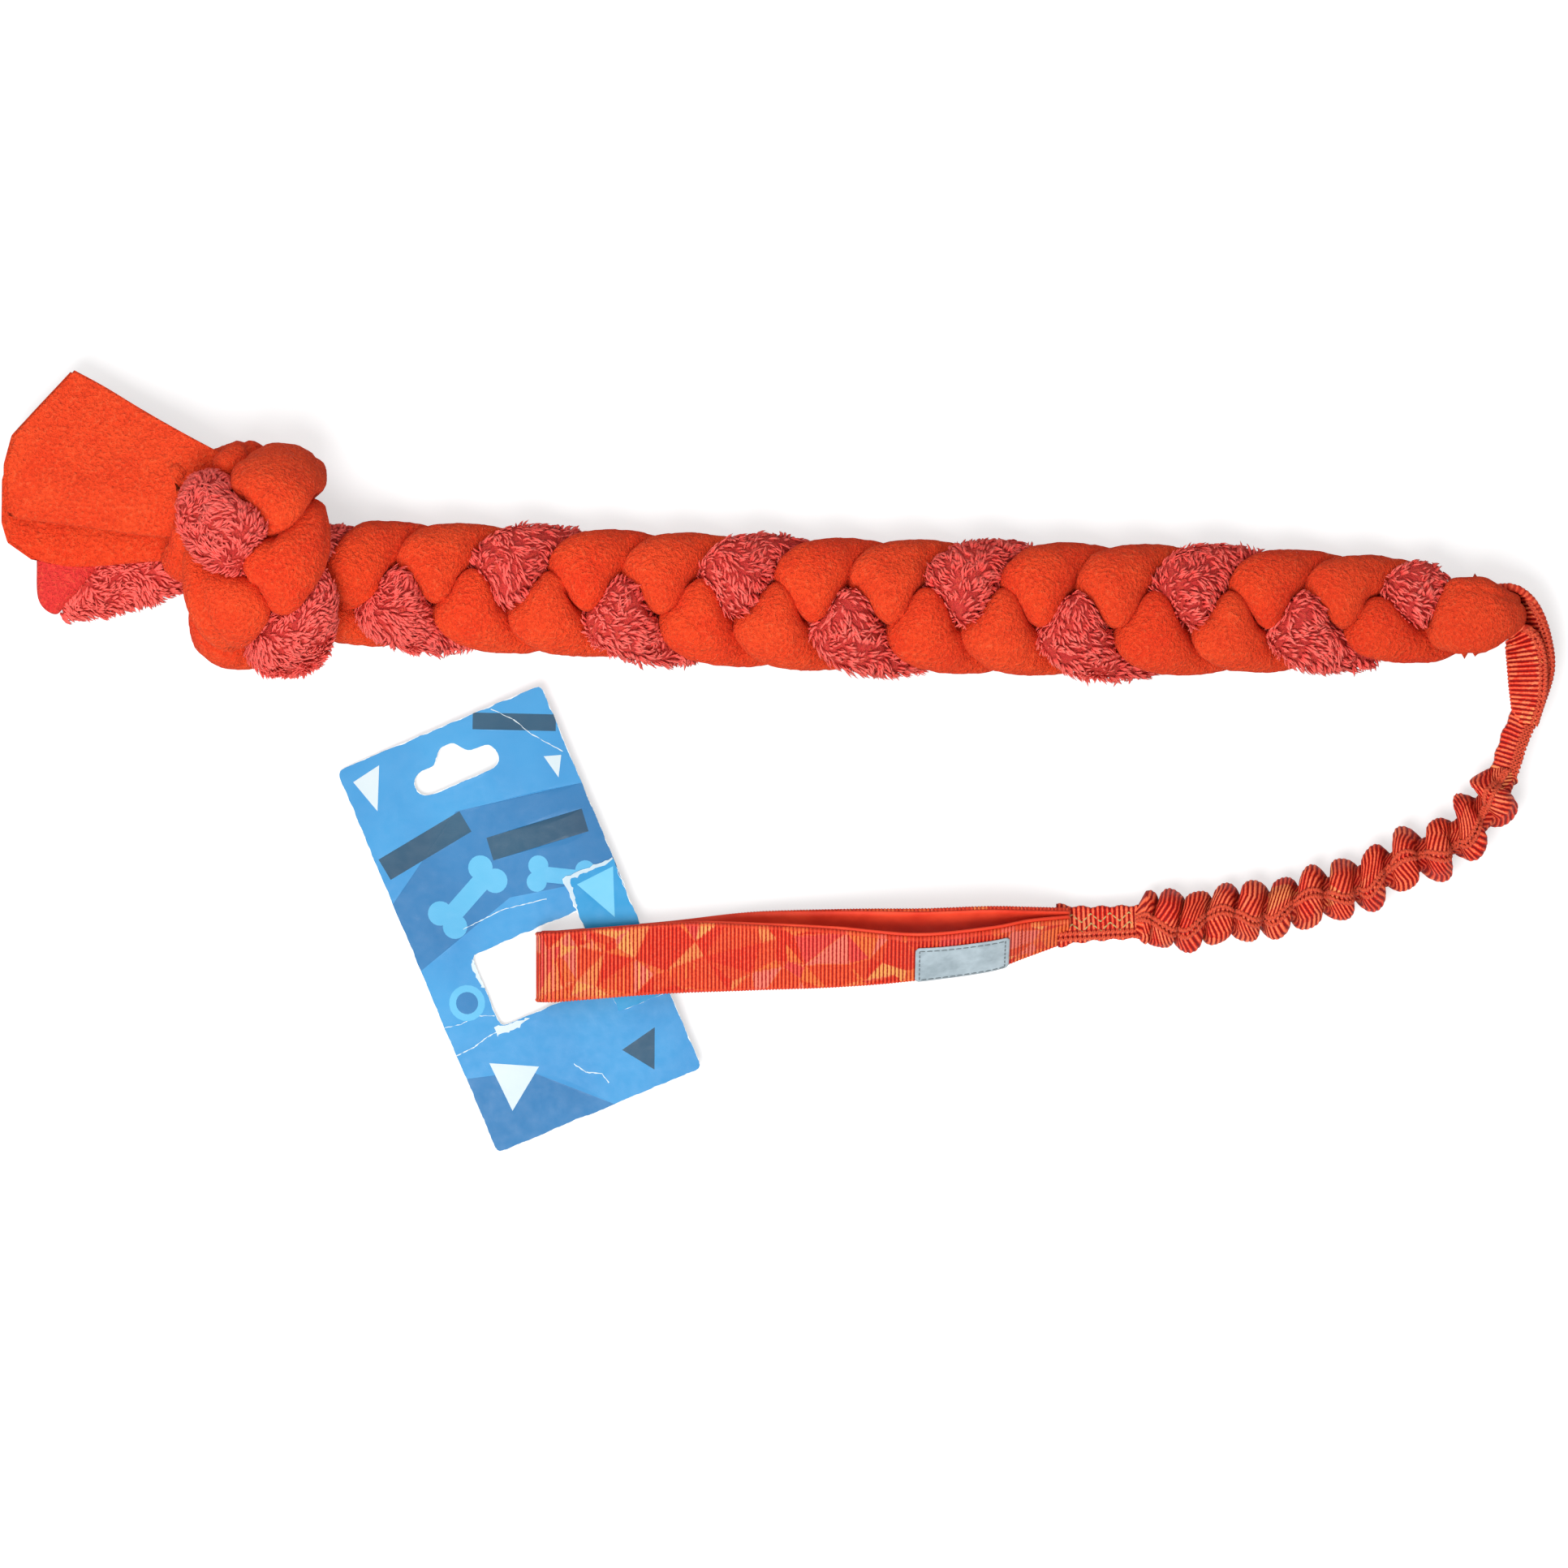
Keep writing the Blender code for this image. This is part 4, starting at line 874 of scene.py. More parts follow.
def lining_look():
    surface = Surface("smooth_lining", 0.6, 0.3, (255, 140, 110))
    patches = surface.spread(surface.noise(0.012), 0.3, 0.7)
    body = surface.mixed((214, 52, 28), (236, 74, 44), patches)
    return surface.finish(body, surface.noise(0.00035, 1.0), 0.0001, 0.4)


def label_look():
    surface = Surface("grey_label", 0.42, 0.1)
    weave = surface.noise(0.0003, 1.0)
    patches = surface.spread(surface.noise(0.006), 0.3, 0.7)
    body = surface.mixed((146, 162, 170), (178, 194, 202), patches)
    rough = surface.spread(weave, 0.3, 0.7, 0.3, 0.5)
    return surface.finish(body, weave, 0.00008, 0.4, rough)


def card_look(name, light, deep):
    """Coated card, whose print wears to white at its borders and along a few scratches."""
    surface = Surface(name, 0.38)
    body = surface.mixed(deep, light, surface.spread(surface.noise(0.05, 2.0), 0.35, 0.65))
    scratches = surface.spread(surface.noise(0.0035, 6.0, 0.8), 0.70, 0.74)
    creases = surface.spread(surface.noise(0.03, 1.0), 0.52, 0.6)
    worn = surface.maths("MULTIPLY", scratches, creases)
    body = surface.mixed(body, (226, 238, 244), worn)
    chips = surface.spread(surface.noise(0.005, 4.0), 0.3, 0.7, -0.75, 0.4)
    border = surface.maths("ADD", surface.attribute("border"), chips)
    body = surface.mixed(body, (226, 232, 232), surface.spread(border, 0.45, 0.75))
    rough = surface.spread(surface.noise(0.004), 0.3, 0.7, 0.3, 0.5)
    return surface.finish(body, surface.noise(0.009, 3.0), 0.0004, 0.25, rough)


def thread_look(name, light, deep):
    surface = Surface(name, 0.7, 0.08)
    twist = surface.noise(0.0005, 2.0)
    return surface.finish(surface.mixed(deep, light, twist), twist, 0.0002, 0.5)


# Strands and tails


def strand_surface(name, rings, look, creases=(), taper=1e-6):
    """A strand's cloth with its nap, and grooves along it at the given angle shares."""
    rings = finer(rings)
    middle = rings.mean(axis=1, keepdims=True)
    grown = np.clip(run_lengths(middle[:, 0]) / taper, 0, 1)[:, None, None]
    rings = middle + (rings - middle) * (0.25 + 0.75 * grown * (2 - grown))
    normal = normals_of(rings)
    row, side = np.arange(len(rings)), np.arange(rings.shape[1])[None] / rings.shape[1]
    for spot, wide, deep, seed in creases:
        wander = spot + 0.06 * np.sin(row / 37.0 + seed)
        away = (side - wander[:, None] + 0.5) % 1 - 0.5
        fade = 0.5 + 0.5 * np.sin(row / 23.0 + 2 * seed)
        fade = fade * np.interp(middle[:, 0, 0], (0.030, 0.045), (1.0, 0.4))
        groove = deep * fade[:, None] * np.exp(-((away / wide) ** 2))
        rings = rings - normal * groove[:, :, None]
    rough = lumps(rings, 0.0045, 5) * 0.0007 + lumps(rings, 0.0014, 6) * 0.0004 - 0.0005
    rings = rings + normal * rough[:, :, None]
    rings[:, :, 2] = np.maximum(rings[:, :, 2], FLOOR_GAP)
    return tube(name, rings, look)


def pile(name, rings, count, length, seed, look):
    """Tapered tufts all over a strand: three-sided, in two steps and a tip, lying in swirls."""
    rng = np.random.default_rng(seed)
    normal = normals_of(rings)
    along = np.gradient(rings, axis=0)
    around = np.roll(rings, -1, 1) - np.roll(rings, 1, 1)
    area = np.linalg.norm(np.cross(along, around), axis=2).ravel()
    picks = rng.choice(area.size, count, p=area / area.sum())
    spots, along, around, up = (
        grid.reshape(-1, 3)[picks] for grid in (rings, along, around, normal)
    )
    spots = spots + along * rng.uniform(-0.5, 0.5, (count, 1))
    spots = spots + around / 2 * rng.uniform(-0.5, 0.5, (count, 1))
    lengthwise = unit(along)
    crosswise = np.cross(up, lengthwise)
    swirl = (lumps(spots, 0.011, 3) - 0.5) * 4.4 + (lumps(spots, 0.003, 4) - 0.5) * 2.2
    swirl = (swirl + rng.normal(0, 0.25, count))[:, None]
    lie = lengthwise * np.cos(swirl) + crosswise * np.sin(swirl)
    lie = unit(lie + np.array((0, -0.25, 0)))
    reach = length * rng.uniform(0.7, 1.15, count) * (0.8 + 0.4 * lumps(spots, 0.006, 8))
    stand = rng.uniform(0.34, 0.70, count)
    wide = rng.uniform(0.00045, 0.00080, count)
    side = np.cross(up, lie)
    points, tips = np.zeros((count, 10, 3)), np.zeros((count, 10))
    for i, (t, girth) in enumerate(((0.0, 0.85), (0.38, 1.0), (0.75, 0.62))):
        rise, run = (stand * (t - 0.45 * t**2))[:, None], 0.55 * t + 0.35 * t**2
        middle = spots + (up * rise + lie * run) * reach[:, None]
        for k in range(3):
            turn = 2 * math.pi * k / 3
            offset = side * math.cos(turn) + up * math.sin(turn) * 0.7
            points[:, 3 * i + k] = middle + offset * (wide * girth)[:, None]
        tips[:, 3 * i : 3 * i + 3] = t
    points[:, 9] = spots + (up * (stand * 0.55)[:, None] + lie * 0.92) * reach[:, None]
    tips[:, 9] = 1
    points[:, :, 2] = np.maximum(points[:, :, 2], FLOOR_GAP)
    shade = np.repeat(rng.uniform(0, 1, count), 10)
    firsts = 10 * np.arange(count)[:, None, None]
    quads = [
        (a, b, b + 3, a + 3)
        for i in range(2)
        for a, b in ((3 * i + k, 3 * i + (k + 1) % 3) for k in range(3))
    ]
    faces = (np.array(quads)[None] + firsts).reshape(-1, 4).tolist()
    faces += (np.array([(6, 7, 9), (7, 8, 9), (8, 6, 9)])[None] + firsts).reshape(-1, 3).tolist()
    return mesh_piece(name, points.reshape(-1, 3), faces, look, tip=tips, shade=shade)


def resampled(line, count):
    """A line's rows, at a count of places along it."""
    given = np.linspace(0, 1, len(line))
    return np.column_stack([np.interp(np.linspace(0, 1, count), given, c) for c in line.T])


def folded_cloth(name, upper, lower, cut_edge, heights, look, seed):
    """A strip folded double along its lower edge, between edge lines from its cut end inward.

    Lines are places on the table; heights are its middle's, from the cut end to its root."""
    along, across = 64, 40
    s = np.linspace(0, 1, along)[:, None, None]
    t = np.linspace(0, 1, across)[None, :, None]
    top, low = (resampled(evenly(spline(line, 10), 0.0005), along) for line in (upper, lower))
    cut_line = resampled(evenly(np.array(cut_edge, float), 0.0005), across)
    ruled = top[:, None] * (1 - t) + low[:, None] * t
    plan = ruled + (1 - s) ** 1.5 * (cut_line - ruled[0])[None]
    middle = resampled(np.array(heights)[:, None], along) * np.ones(across)
    spot = np.concatenate([plan, np.full((along, across, 1), seed * 0.05)], axis=2)
    middle = middle + (lumps(spot, 0.021, seed) - 0.5) * 0.0030
    middle = middle + (lumps(spot, 0.008, seed + 1) - 0.5) * 0.0008
    slack = 0.0011 + 0.0008 * lumps(spot, 0.016, seed + 2)
    slack = slack * np.minimum(1, 4 * (1 - t[:, :, 0])) * np.minimum(1, 5 * (1 - s[:, :, 0]) + 0.3)
    turns = [(math.sin(turn), math.cos(turn)) for turn in np.radians((45, 90, 135))]
    rings = []
    for i in range(along):
        shift = np.array((0.0018, 0.0004)) * (1 - i / (along - 1))
        outward = unit(plan[i, -1] - plan[i, -2])

        def face(lift, bulge, rise):
            """Over the upper layer, round the fold, and back under the lower layer."""
            over = [(*plan[i, k], middle[i, k] + lift[k]) for k in range(across)]
            fold = [
                (*(plan[i, -1] + outward * bulge * out), middle[i, -1] + rise * up)
                for out, up in turns
            ]
            under = [(*(plan[i, k] - shift), middle[i, k] - lift[k]) for k in range(across)]
            return over + fold + under[::-1]

        thick = slack[i, -1] + TAIL_THICKNESS
        outside = face(slack[i] + TAIL_THICKNESS, thick, thick)
        rings.append(outside + face(slack[i] * 0.9, 0, 0.0002)[::-1])
    rings = np.array(rings)
    rings = rings + (lumps(rings, 0.0014, 6)[:, :, None] - 0.5) * np.array((0, 0, 0.0004))
    rings[:, :, 2] = np.maximum(rings[:, :, 2], FLOOR_GAP)
    rows, sides = rings.shape[:2]
    faces = grid_faces(rows, sides)
    last = (rows - 1) * sides
    for k in range(sides // 2 - 1):
        a, b, c, d = k, k + 1, sides - 2 - k, sides - 1 - k
        faces.append((d, c, b, a))
        faces.append((last + a, last + b, last + c, last + d))
    return mesh_piece(name, rings.reshape(-1, 3), faces, look)


# Straps and threads


def shards(u, v, cell, seed):
    """A faceted print: the value of the irregular triangle that each place falls in."""
    rng = np.random.default_rng(seed)
    low, high = (u.min() - cell, v.min() - cell), (u.max() + cell, v.max() + cell)
    count = int((high[0] - low[0]) * (high[1] - low[1]) / cell**2 * 1.3) + 8
    knots = [Vector(pair) for pair in rng.uniform(low, high, (count, 2))]
    knots += [Vector(pair) for pair in (low, (high[0], low[1]), high, (low[0], high[1]))]
    points, _, faces, *_ = delaunay_2d_cdt(knots, [], [], 0, 1e-9)
    found = np.full(u.shape, 0.3)
    for face in faces:
        value = rng.uniform(0, 1)
        spots = [points[i] for i in face]
        within = True
        for (ax, ay), (bx, by) in zip(spots, spots[1:] + spots[:1]):
            within = within & ((bx - ax) * (v - ay) - (by - ay) * (u - ax) >= 0)
        found[within] = value
    return found


def strap_profile(flat, rim):
    """Places round a strap: share across, side up or down, and how far out on the rim."""
    found = [(share, 1, 0) for share in flat] + [(1, *spot) for spot in rim]
    found += [(share, -1, 0) for share in flat[::-1]]
    return found + [(-1, -up, out) for up, out in rim]


def ribbed_strap(name, stations, thickness, look, pitch, rib, cell, seed, bend=None):
    """Grosgrain: ribs across a strap, with a looped cord along each edge."""
    cord = 0.0008
    places, sides, faces, halves = (np.array(column) for column in zip(*stations))
    runs = run_lengths(places)
    waves = np.abs(np.sin(math.pi * runs / pitch)) ** 0.6
    loops = np.abs(np.sin(math.pi * runs / (0.8 * pitch)))
    rim = [(math.cos(t), math.sin(t)) for t in np.linspace(0.15, math.pi - 0.15, 6)]
    profile = strap_profile(np.linspace(-1, 1, 41), rim)
    rings = np.zeros((len(places), len(profile), 3))
    edges = np.zeros(rings.shape[:2])
    for k, (share, up, bulge) in enumerate(profile):
        lift = (thickness / 2 - rib / 2 + rib * waves) * up
        reach = (halves - cord) * share
        if bulge > 0 or abs(share) == 1:
            lift = (thickness / 2 + 0.0002 + 0.00025 * loops) * up
            reach = reach + share * bulge * cord * (0.7 + 0.5 * loops)
            edges[:, k] = 0.4 + 0.6 * loops
        rings[:, k] = places + sides * reach[:, None] + faces * lift[:, None]
    shares = np.array([share for share, _, _ in profile])
    values = shards(runs[:, None] * np.ones(len(profile)), shares * halves[:, None], cell, seed)
    phases = (runs / pitch)[:, None] * np.ones(len(profile))
    tucks = np.zeros(phases.shape)
    if bend is not None:
        # Near the bend: painted shade in the grooves between the ribs, and painted glints on every
        # other rib, by raising its print value
        opened = np.exp(-np.linalg.norm(places - places[bend], axis=1) / 0.016)
        tucks = tucks + (opened * (1 - waves))[:, None]
        every_other = (waves > 0.9) * (np.floor(runs / pitch) % 2)
        values = np.clip(values + 0.35 * (opened * every_other)[:, None], 0, 1)
    return tube(name, rings, look, phase=phases, shard=values, edge=edges, tuck=tucks)


def flat_strap(name, stations, thickness, look):
    """A smooth strap with rounded edges."""
    places, sides, faces, halves = (np.array(column) for column in zip(*stations))
    profile = strap_profile(np.linspace(-1, 1, 15), [(0, 1)])
    rings = np.zeros((len(places), len(profile), 3))
    for k, (share, up, bulge) in enumerate(profile):
        reach = share * (halves - thickness / 3) + share * bulge * thickness / 3
        rings[:, k] = places + sides * reach[:, None] + faces * (up * thickness / 2)
    return tube(name, rings, look)


def thread(name, points, radius, look, sides):
    """A thread through points."""
    points = np.asarray(points, float)
    upward, sideways = frames(points, np.tile((0.05, 0.02, 1.0), (len(points), 1)))
    angles = 2 * math.pi * np.arange(sides)[None, :, None] / sides
    ring = np.cos(angles) * sideways[:, None] + np.sin(angles) * upward[:, None]
    return tube(name, points[:, None] + ring * radius, look)


# Building

RIB_PITCH = 0.0017
LOOP_RIB_PITCH = 0.00175
HAND_RIB_PITCH = 0.0014
TAIL_THICKNESS = 0.0017
ROLL_TAPER = 0.011
TUFT_COUNT = 14000
TUFT_LENGTH = 0.0041
LABEL_MIDDLE = LABEL_MIDDLE_SHARE - 0.012
SEWN_EDGE = 0.0016
SLEEVE_SPLIT = 0.034
SLEEVE_SEAM = 1.45
PRINT_CELL = 0.003
TEAR_STEP = 0.0012

# Print of the webbing, by share: its colours in steps
HAND_PRINT = (
    (0.0, (224, 42, 20)),
    (0.26, (234, 70, 34)),
    (0.46, (248, 110, 50)),
    (0.62, (228, 62, 60)),
    (0.72, (250, 132, 72)),
    (0.84, (244, 116, 100)),
    (0.94, (252, 160, 84)),
)
LEAD_PRINT = (
    (0.0, (232, 46, 26)),
    (0.30, (244, 74, 44)),
    (0.55, (250, 98, 62)),
    (0.78, (252, 114, 76)),
    (0.95, (253, 144, 84)),
)

# Grooves along the fleece strands: share round the strand, width, depth and seed
CREASES_A = ((0.20, 0.018, 0.0018, 1.0), (0.34, 0.015, 0.0012, 2.2), (0.72, 0.018, 0.0014, 4.1))
CREASES_B = ((0.27, 0.018, 0.0018, 0.3), (0.40, 0.015, 0.0012, 3.1), (0.78, 0.018, 0.0014, 5.2))

# Fleece tails on the table: upper edge and fold from the cut end to the knot, cut end and heights
UPPER_TAIL = (
    (
        (-0.0664, 0.0663),
        (-0.0557, 0.0605),
        (-0.0417, 0.0520),
        (-0.0277, 0.0440),
        (-0.0137, 0.0365),
    ),
    (
        (-0.0889, 0.0151),
        (-0.0727, 0.0132),
        (-0.0487, 0.0098),
        (-0.0317, 0.0080),
        (-0.0147, 0.0100),
    ),
    (
        (-0.0664, 0.0663),
        (-0.0874, 0.0436),
        (-0.0903, 0.0330),
        (-0.0903, 0.0220),
        (-0.0889, 0.0151),
    ),
    (0.0172, 0.0180, 0.0197, 0.0233, 0.0262, 0.0255),
)
LOWER_TAIL = (
    ((-0.0867, 0.0440), (-0.0687, 0.0400), (-0.0437, 0.0340), (-0.0167, 0.0280)),
    (
        (-0.0810, -0.0006),
        (-0.0705, -0.0026),
        (-0.0589, -0.0020),
        (-0.0440, -0.0006),
        (-0.0281, 0.0003),
        (-0.0167, 0.0010),
    ),
    (
        (-0.0867, 0.0440),
        (-0.0917, 0.0280),
        (-0.0919, 0.0128),
        (-0.0897, 0.0055),
        (-0.0810, -0.0006),
    ),
    (0.0092, 0.0093, 0.0097, 0.0117, 0.0160, 0.0168),
)
REVERSE_CORNER = (
    (-0.0810, 0.0, 0),
    (-0.0804, -0.0151, 0),
    (-0.0746, -0.0206, 0),
    (-0.0699, -0.0163, 0),
    (-0.0600, -0.0041, 0),
    (-0.0621, 0.0020, 0),
    (-0.0810, 0.0, 0),
)


def settled():
    """Shift on the table from the tables' own origin to the frame, by where the strap lies."""
    corners = []
    for place, side, face, half in strap_stations(0, STRAP_WIDTH, 0, STRAP_STEP):
        for a in (-half, half):
            for b in (-STRAP_THICKNESS / 2, STRAP_THICKNESS / 2):
                corners.append(place + side * a + face * b)
    corners = np.array(corners)
    low, high = (np.array(corner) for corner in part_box("handle_webbing"))
    return (low + high - corners.min(axis=0) - corners.max(axis=0)) / 2 * (1, 1, 0)


SHIFT = settled()


def placed(piece, body, node, slot):
    """Put a piece in the frame, above the floor, in place of a solid or beside it."""
    piece.data.transform(Matrix.Translation(SHIFT))
    spots = np.empty(3 * len(piece.data.vertices), np.float32)
    piece.data.vertices.foreach_get("co", spots)
    spots[2::3] = np.maximum(spots[2::3], LOWEST)
    piece.data.vertices.foreach_set("co", spots)
    if isinstance(body, str):
        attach(piece, body)
    else:
        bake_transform(piece)
    if node:
        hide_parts(node)
    return piece


def web_frames(rows):
    """Face and width directions of the tug loop's webbing, which leans from upright."""
    along = unit(np.gradient(rows[:, :3], axis=0))
    lean = np.column_stack([np.sin(rows[:, 3]), np.zeros(len(rows)), np.cos(rows[:, 3])])
    return frames(rows[:, :3], np.cross(lean, along))


def strap_balls(rows):
    """Small balls across the tug loop's webbing, which the strands keep clear of."""
    _, sideways = web_frames(rows)
    radii = np.full(len(rows), 0.0013)
    return np.vstack([
        np.column_stack([rows[:, :3] + sideways * rows[:, 4:5] * share, radii])
        for share in np.linspace(-0.9, 0.9, 9)
    ])


def drawn_in(rows_of):
    """The strands with their knot pulled a little tighter in plan."""
    tighter = {}
    for name, rows in rows_of.items():
        share = np.interp(rows[:, 0], (-0.050, -0.030, 0.022, 0.036), (0, 1, 1, 0))[:, None]
        rows = rows.copy()
        rows[:, :2] *= 1 - 0.07 * share
        rows[:, 6:8] *= 1 - 0.03 * share
        tighter[name] = rows
    return tighter


def strands():
    """The plait, its knot and its tails."""
    rows_of = drawn_in(strand_rows())
    balls = strap_balls(tug_loop())
    upper = fleece_look("orange_fleece_upper", (253, 77, 33), (245, 66, 27), (176, 36, 13))
    lower = fleece_look("orange_fleece_lower", (253, 74, 30), (246, 60, 24), (172, 32, 12))
    coral = plush_look("coral_plush_tufts", (206, 48, 48), (243, 80, 72), (255, 126, 112))
    ground = fleece_look("coral_plush_ground", (226, 68, 62), (208, 54, 52), (160, 34, 36))
    reverse = fleece_look("plush_reverse_knit", (244, 62, 56), (232, 50, 50), (190, 30, 36))
    tail = knot_rows()[0, 0] - 0.004
    for key, look, creases in (("a", upper, CREASES_A), ("b", lower, CREASES_B)):
        rings = packed(rows_of, f"fleece_strand_{key}", 0.0001, balls)
        rings = rings[rings[:, :, 0].mean(axis=1) > tail]
        roll = strand_surface(f"fleece_{key}_roll", rings, look, creases, ROLL_TAPER)
        placed(roll, "braid", f"fleece_strand_{key}", "orange_fleece")
    rings = packed(rows_of, "plush_strand", 0.0004, balls)
    core = rings + (rings.mean(axis=1, keepdims=True) - rings) * 0.10
    placed(strand_surface("plush_ground", core, ground), "braid", "plush_strand", "coral_plush")
    reverse_corner(reverse)
    for k, (start, end) in enumerate(((0.0, 0.45), (0.45, 1.0))):
        part = core[int(start * len(core)) : int(end * len(core)) + 1]
        tufts = pile(f"plush_pile_{k + 1}", part, TUFT_COUNT, TUFT_LENGTH, 11 + k, coral)
        placed(tufts, "braid", None, "coral_plush")
    cloth = folded_cloth("fleece_a_tail", *UPPER_TAIL, upper, 3)
    placed(cloth, "braid", "fleece_strand_a", "orange_fleece")
    cloth = folded_cloth("fleece_b_tail", *LOWER_TAIL, lower, 7)
    placed(cloth, "braid", "fleece_strand_b", "orange_fleece")


def reverse_corner(look):
    """The plush tail's cut corner, folded over to show its smooth reverse."""
    outline = evenly(spline(REVERSE_CORNER, 12), 0.0006)[:-1]
    middle = outline.mean(axis=0)
    rings = [outline + (0, 0, 0.0060)]
    for share in np.linspace(0, 1, 15)[:-1]:
        ring = middle + (outline - middle) * (1 - share)
        ring[:, 2] = 0.0072 + 0.0026 * math.sqrt(max(0, 1 - (1 - share) ** 4))
        bumps = (lumps(ring, 0.006, 2) - 0.5) * 0.0012 + (lumps(ring, 0.0015, 3) - 0.5) * 0.0003
        ring[:, 2] += bumps
        rings.append(ring)
    placed(tube("plush_reverse", np.array(rings), look), "braid", None, "coral_plush")


def corded(name, points, rises, aside, look, radius=0.00042):
    """A looped cord sewn along a line: a thread that swings from side to side."""
    points = evenly(np.column_stack([points, rises, aside]), 0.00022)
    turns = 2 * math.pi * run_lengths(points) / RIB_PITCH
    swing, lift = np.sin(turns)[:, None], np.abs(np.cos(turns))[:, None]
    line = points[:, :3] + points[:, 6:9] * swing * 0.00055
    line = line + points[:, 3:6] * (radius * 0.5 + lift * 0.00025)
    return thread(name, line, radius, look, 5)


def loop_piece(look, cord_look):
    """The tug loop's webbing, from the neck round through the eye and back, and its cords."""
    rows = evenly(tug_loop(), 0.00028)
    faces, sideways = web_frames(rows)
    stations = list(zip(rows[:, :3], sideways, faces, rows[:, 4]))
    sizes = LOOP_RIB_PITCH, 0.0004, 0.007
    piece = ribbed_strap("loop_webbing", stations, LOOP_WEB_THICKNESS, look, *sizes, 4)
    centre, neck_end = np.array(eye_centre()), np.array(neck_place())
    way = neck_end - centre
    body = ("braid", "tug_link", centre + way * 0.25, centre + way * 0.8)
    placed(piece, body, "tug_loop", "orange_webbing")
    total = len(rows)
    for k, (first, last) in enumerate(((0, int(0.36 * total)), (int(0.74 * total), total))):
        leg = slice(first, last)
        turned = np.sign(sideways[leg, :1])
        up = faces[leg] * np.sign(faces[leg, 2:3])
        for j, inset in enumerate((0.0004, 0.0021)):
            line = rows[leg, :3] + sideways[leg] * turned * (rows[leg, 4:5] - inset)
            line = line + up * LOOP_WEB_THICKNESS / 2
            cord = corded(f"loop_cord_{k + 1}_{j + 1}", line, up, sideways[leg], cord_look)
            placed(cord, body, None, "orange_webbing")


def neck_piece(name, start, end, width, looks, body, node, cords, beyond, flare=0.0):
    """A neck of webbing folded and sewn: ribs across, and its cord edges along one side.

    A neck with a flare is sewn on to the hand loop's strap, with two zigzags over it."""
    look, cord_look = looks
    step, sides = 0.00025, 56
    rows = lead_rows(start + TOUCH_GAP, end - TOUCH_GAP, step)
    before = np.arange(-beyond[0], -0.0002, step)[:, None] / step
    after = np.arange(step, beyond[1], step)[:, None] / step
    fore, aft = rows[1] - rows[0], rows[-1] - rows[-2]
    rows = np.vstack([rows[0] + before * fore, rows, rows[-1] + after * aft])
    upward, sideways = frames(rows[:, :3], np.tile((0, 0, 1.0), (len(rows), 1)))
    waves = np.abs(np.sin(math.pi * rows[:, 3] / RIB_PITCH)) ** 0.6
    angles = 2 * math.pi * np.arange(sides) / sides
    across, up = squarer(np.cos(angles), 0.45), squarer(np.sin(angles), 0.45)
    plies = 0.0005 * np.abs(np.sin(across * math.pi * 1.5)) ** 0.5
    rings = np.zeros((len(rows), sides, 3))
    for i, (place, side, rise) in enumerate(zip(rows[:, :3], sideways, upward)):
        high = NECK_THICKNESS / 2 + 0.0002 * waves[i] - 0.0004 + plies
        spread = 1 + flare * math.exp((rows[i, 3] - rows[-1, 3]) / 0.006)
        wide = width / 2 * (1 + 0.06 * math.sin(rows[i, 3] * 900)) * spread + 0.0002 * waves[i]
        rings[i] = place + np.outer(across * wide, side) + np.outer(up * high, rise)
    runs = rows[:, 3:4] * np.ones(sides)
    shard = shards(runs, across * np.full((len(rows), 1), width / 2), 0.006, 9)
    piece = tube(name, rings, look, phase=runs / RIB_PITCH, shard=shard)
    placed(piece, body, node, "orange_webbing")
    if flare:
        zigzag = np.abs((rows[:, 3:4] / 0.0034) % 2 - 1) - 0.5
        for k, spot in enumerate((-0.0022, 0.0012)):
            line = rows[:, :3] + sideways * (spot + zigzag * 0.0030)
            line = line + upward * (NECK_THICKNESS / 2 + 0.0001)
            yarn = thread_look(f"zigzag_thread_{k + 1}", (214, 190, 128), (150, 116, 58))
            sewn = f"neck_zigzag_{k + 1}", line[12:-16], 0.0021, 0.0002, 0.00028
            stitches(*sewn, yarn, body, "orange_webbing")
    for k, spot in enumerate(cords):
        line = rows[:, :3] + sideways * width / 2 * spot + upward * (NECK_THICKNESS / 2)
        cord = corded(f"{name}_cord_{k + 1}", line, upward, sideways, cord_look)
        placed(cord, body, None, "orange_webbing")


def fold_height(turns, pitch):
    """Height of the ruffle as a share, round topped and as wide as its pitch lets it be."""
    away = (turns - np.round(turns)) * pitch
    half = np.minimum(pitch / 2, 0.0046)
    return np.maximum(1 - (away / half) ** 2, 0) ** 0.42


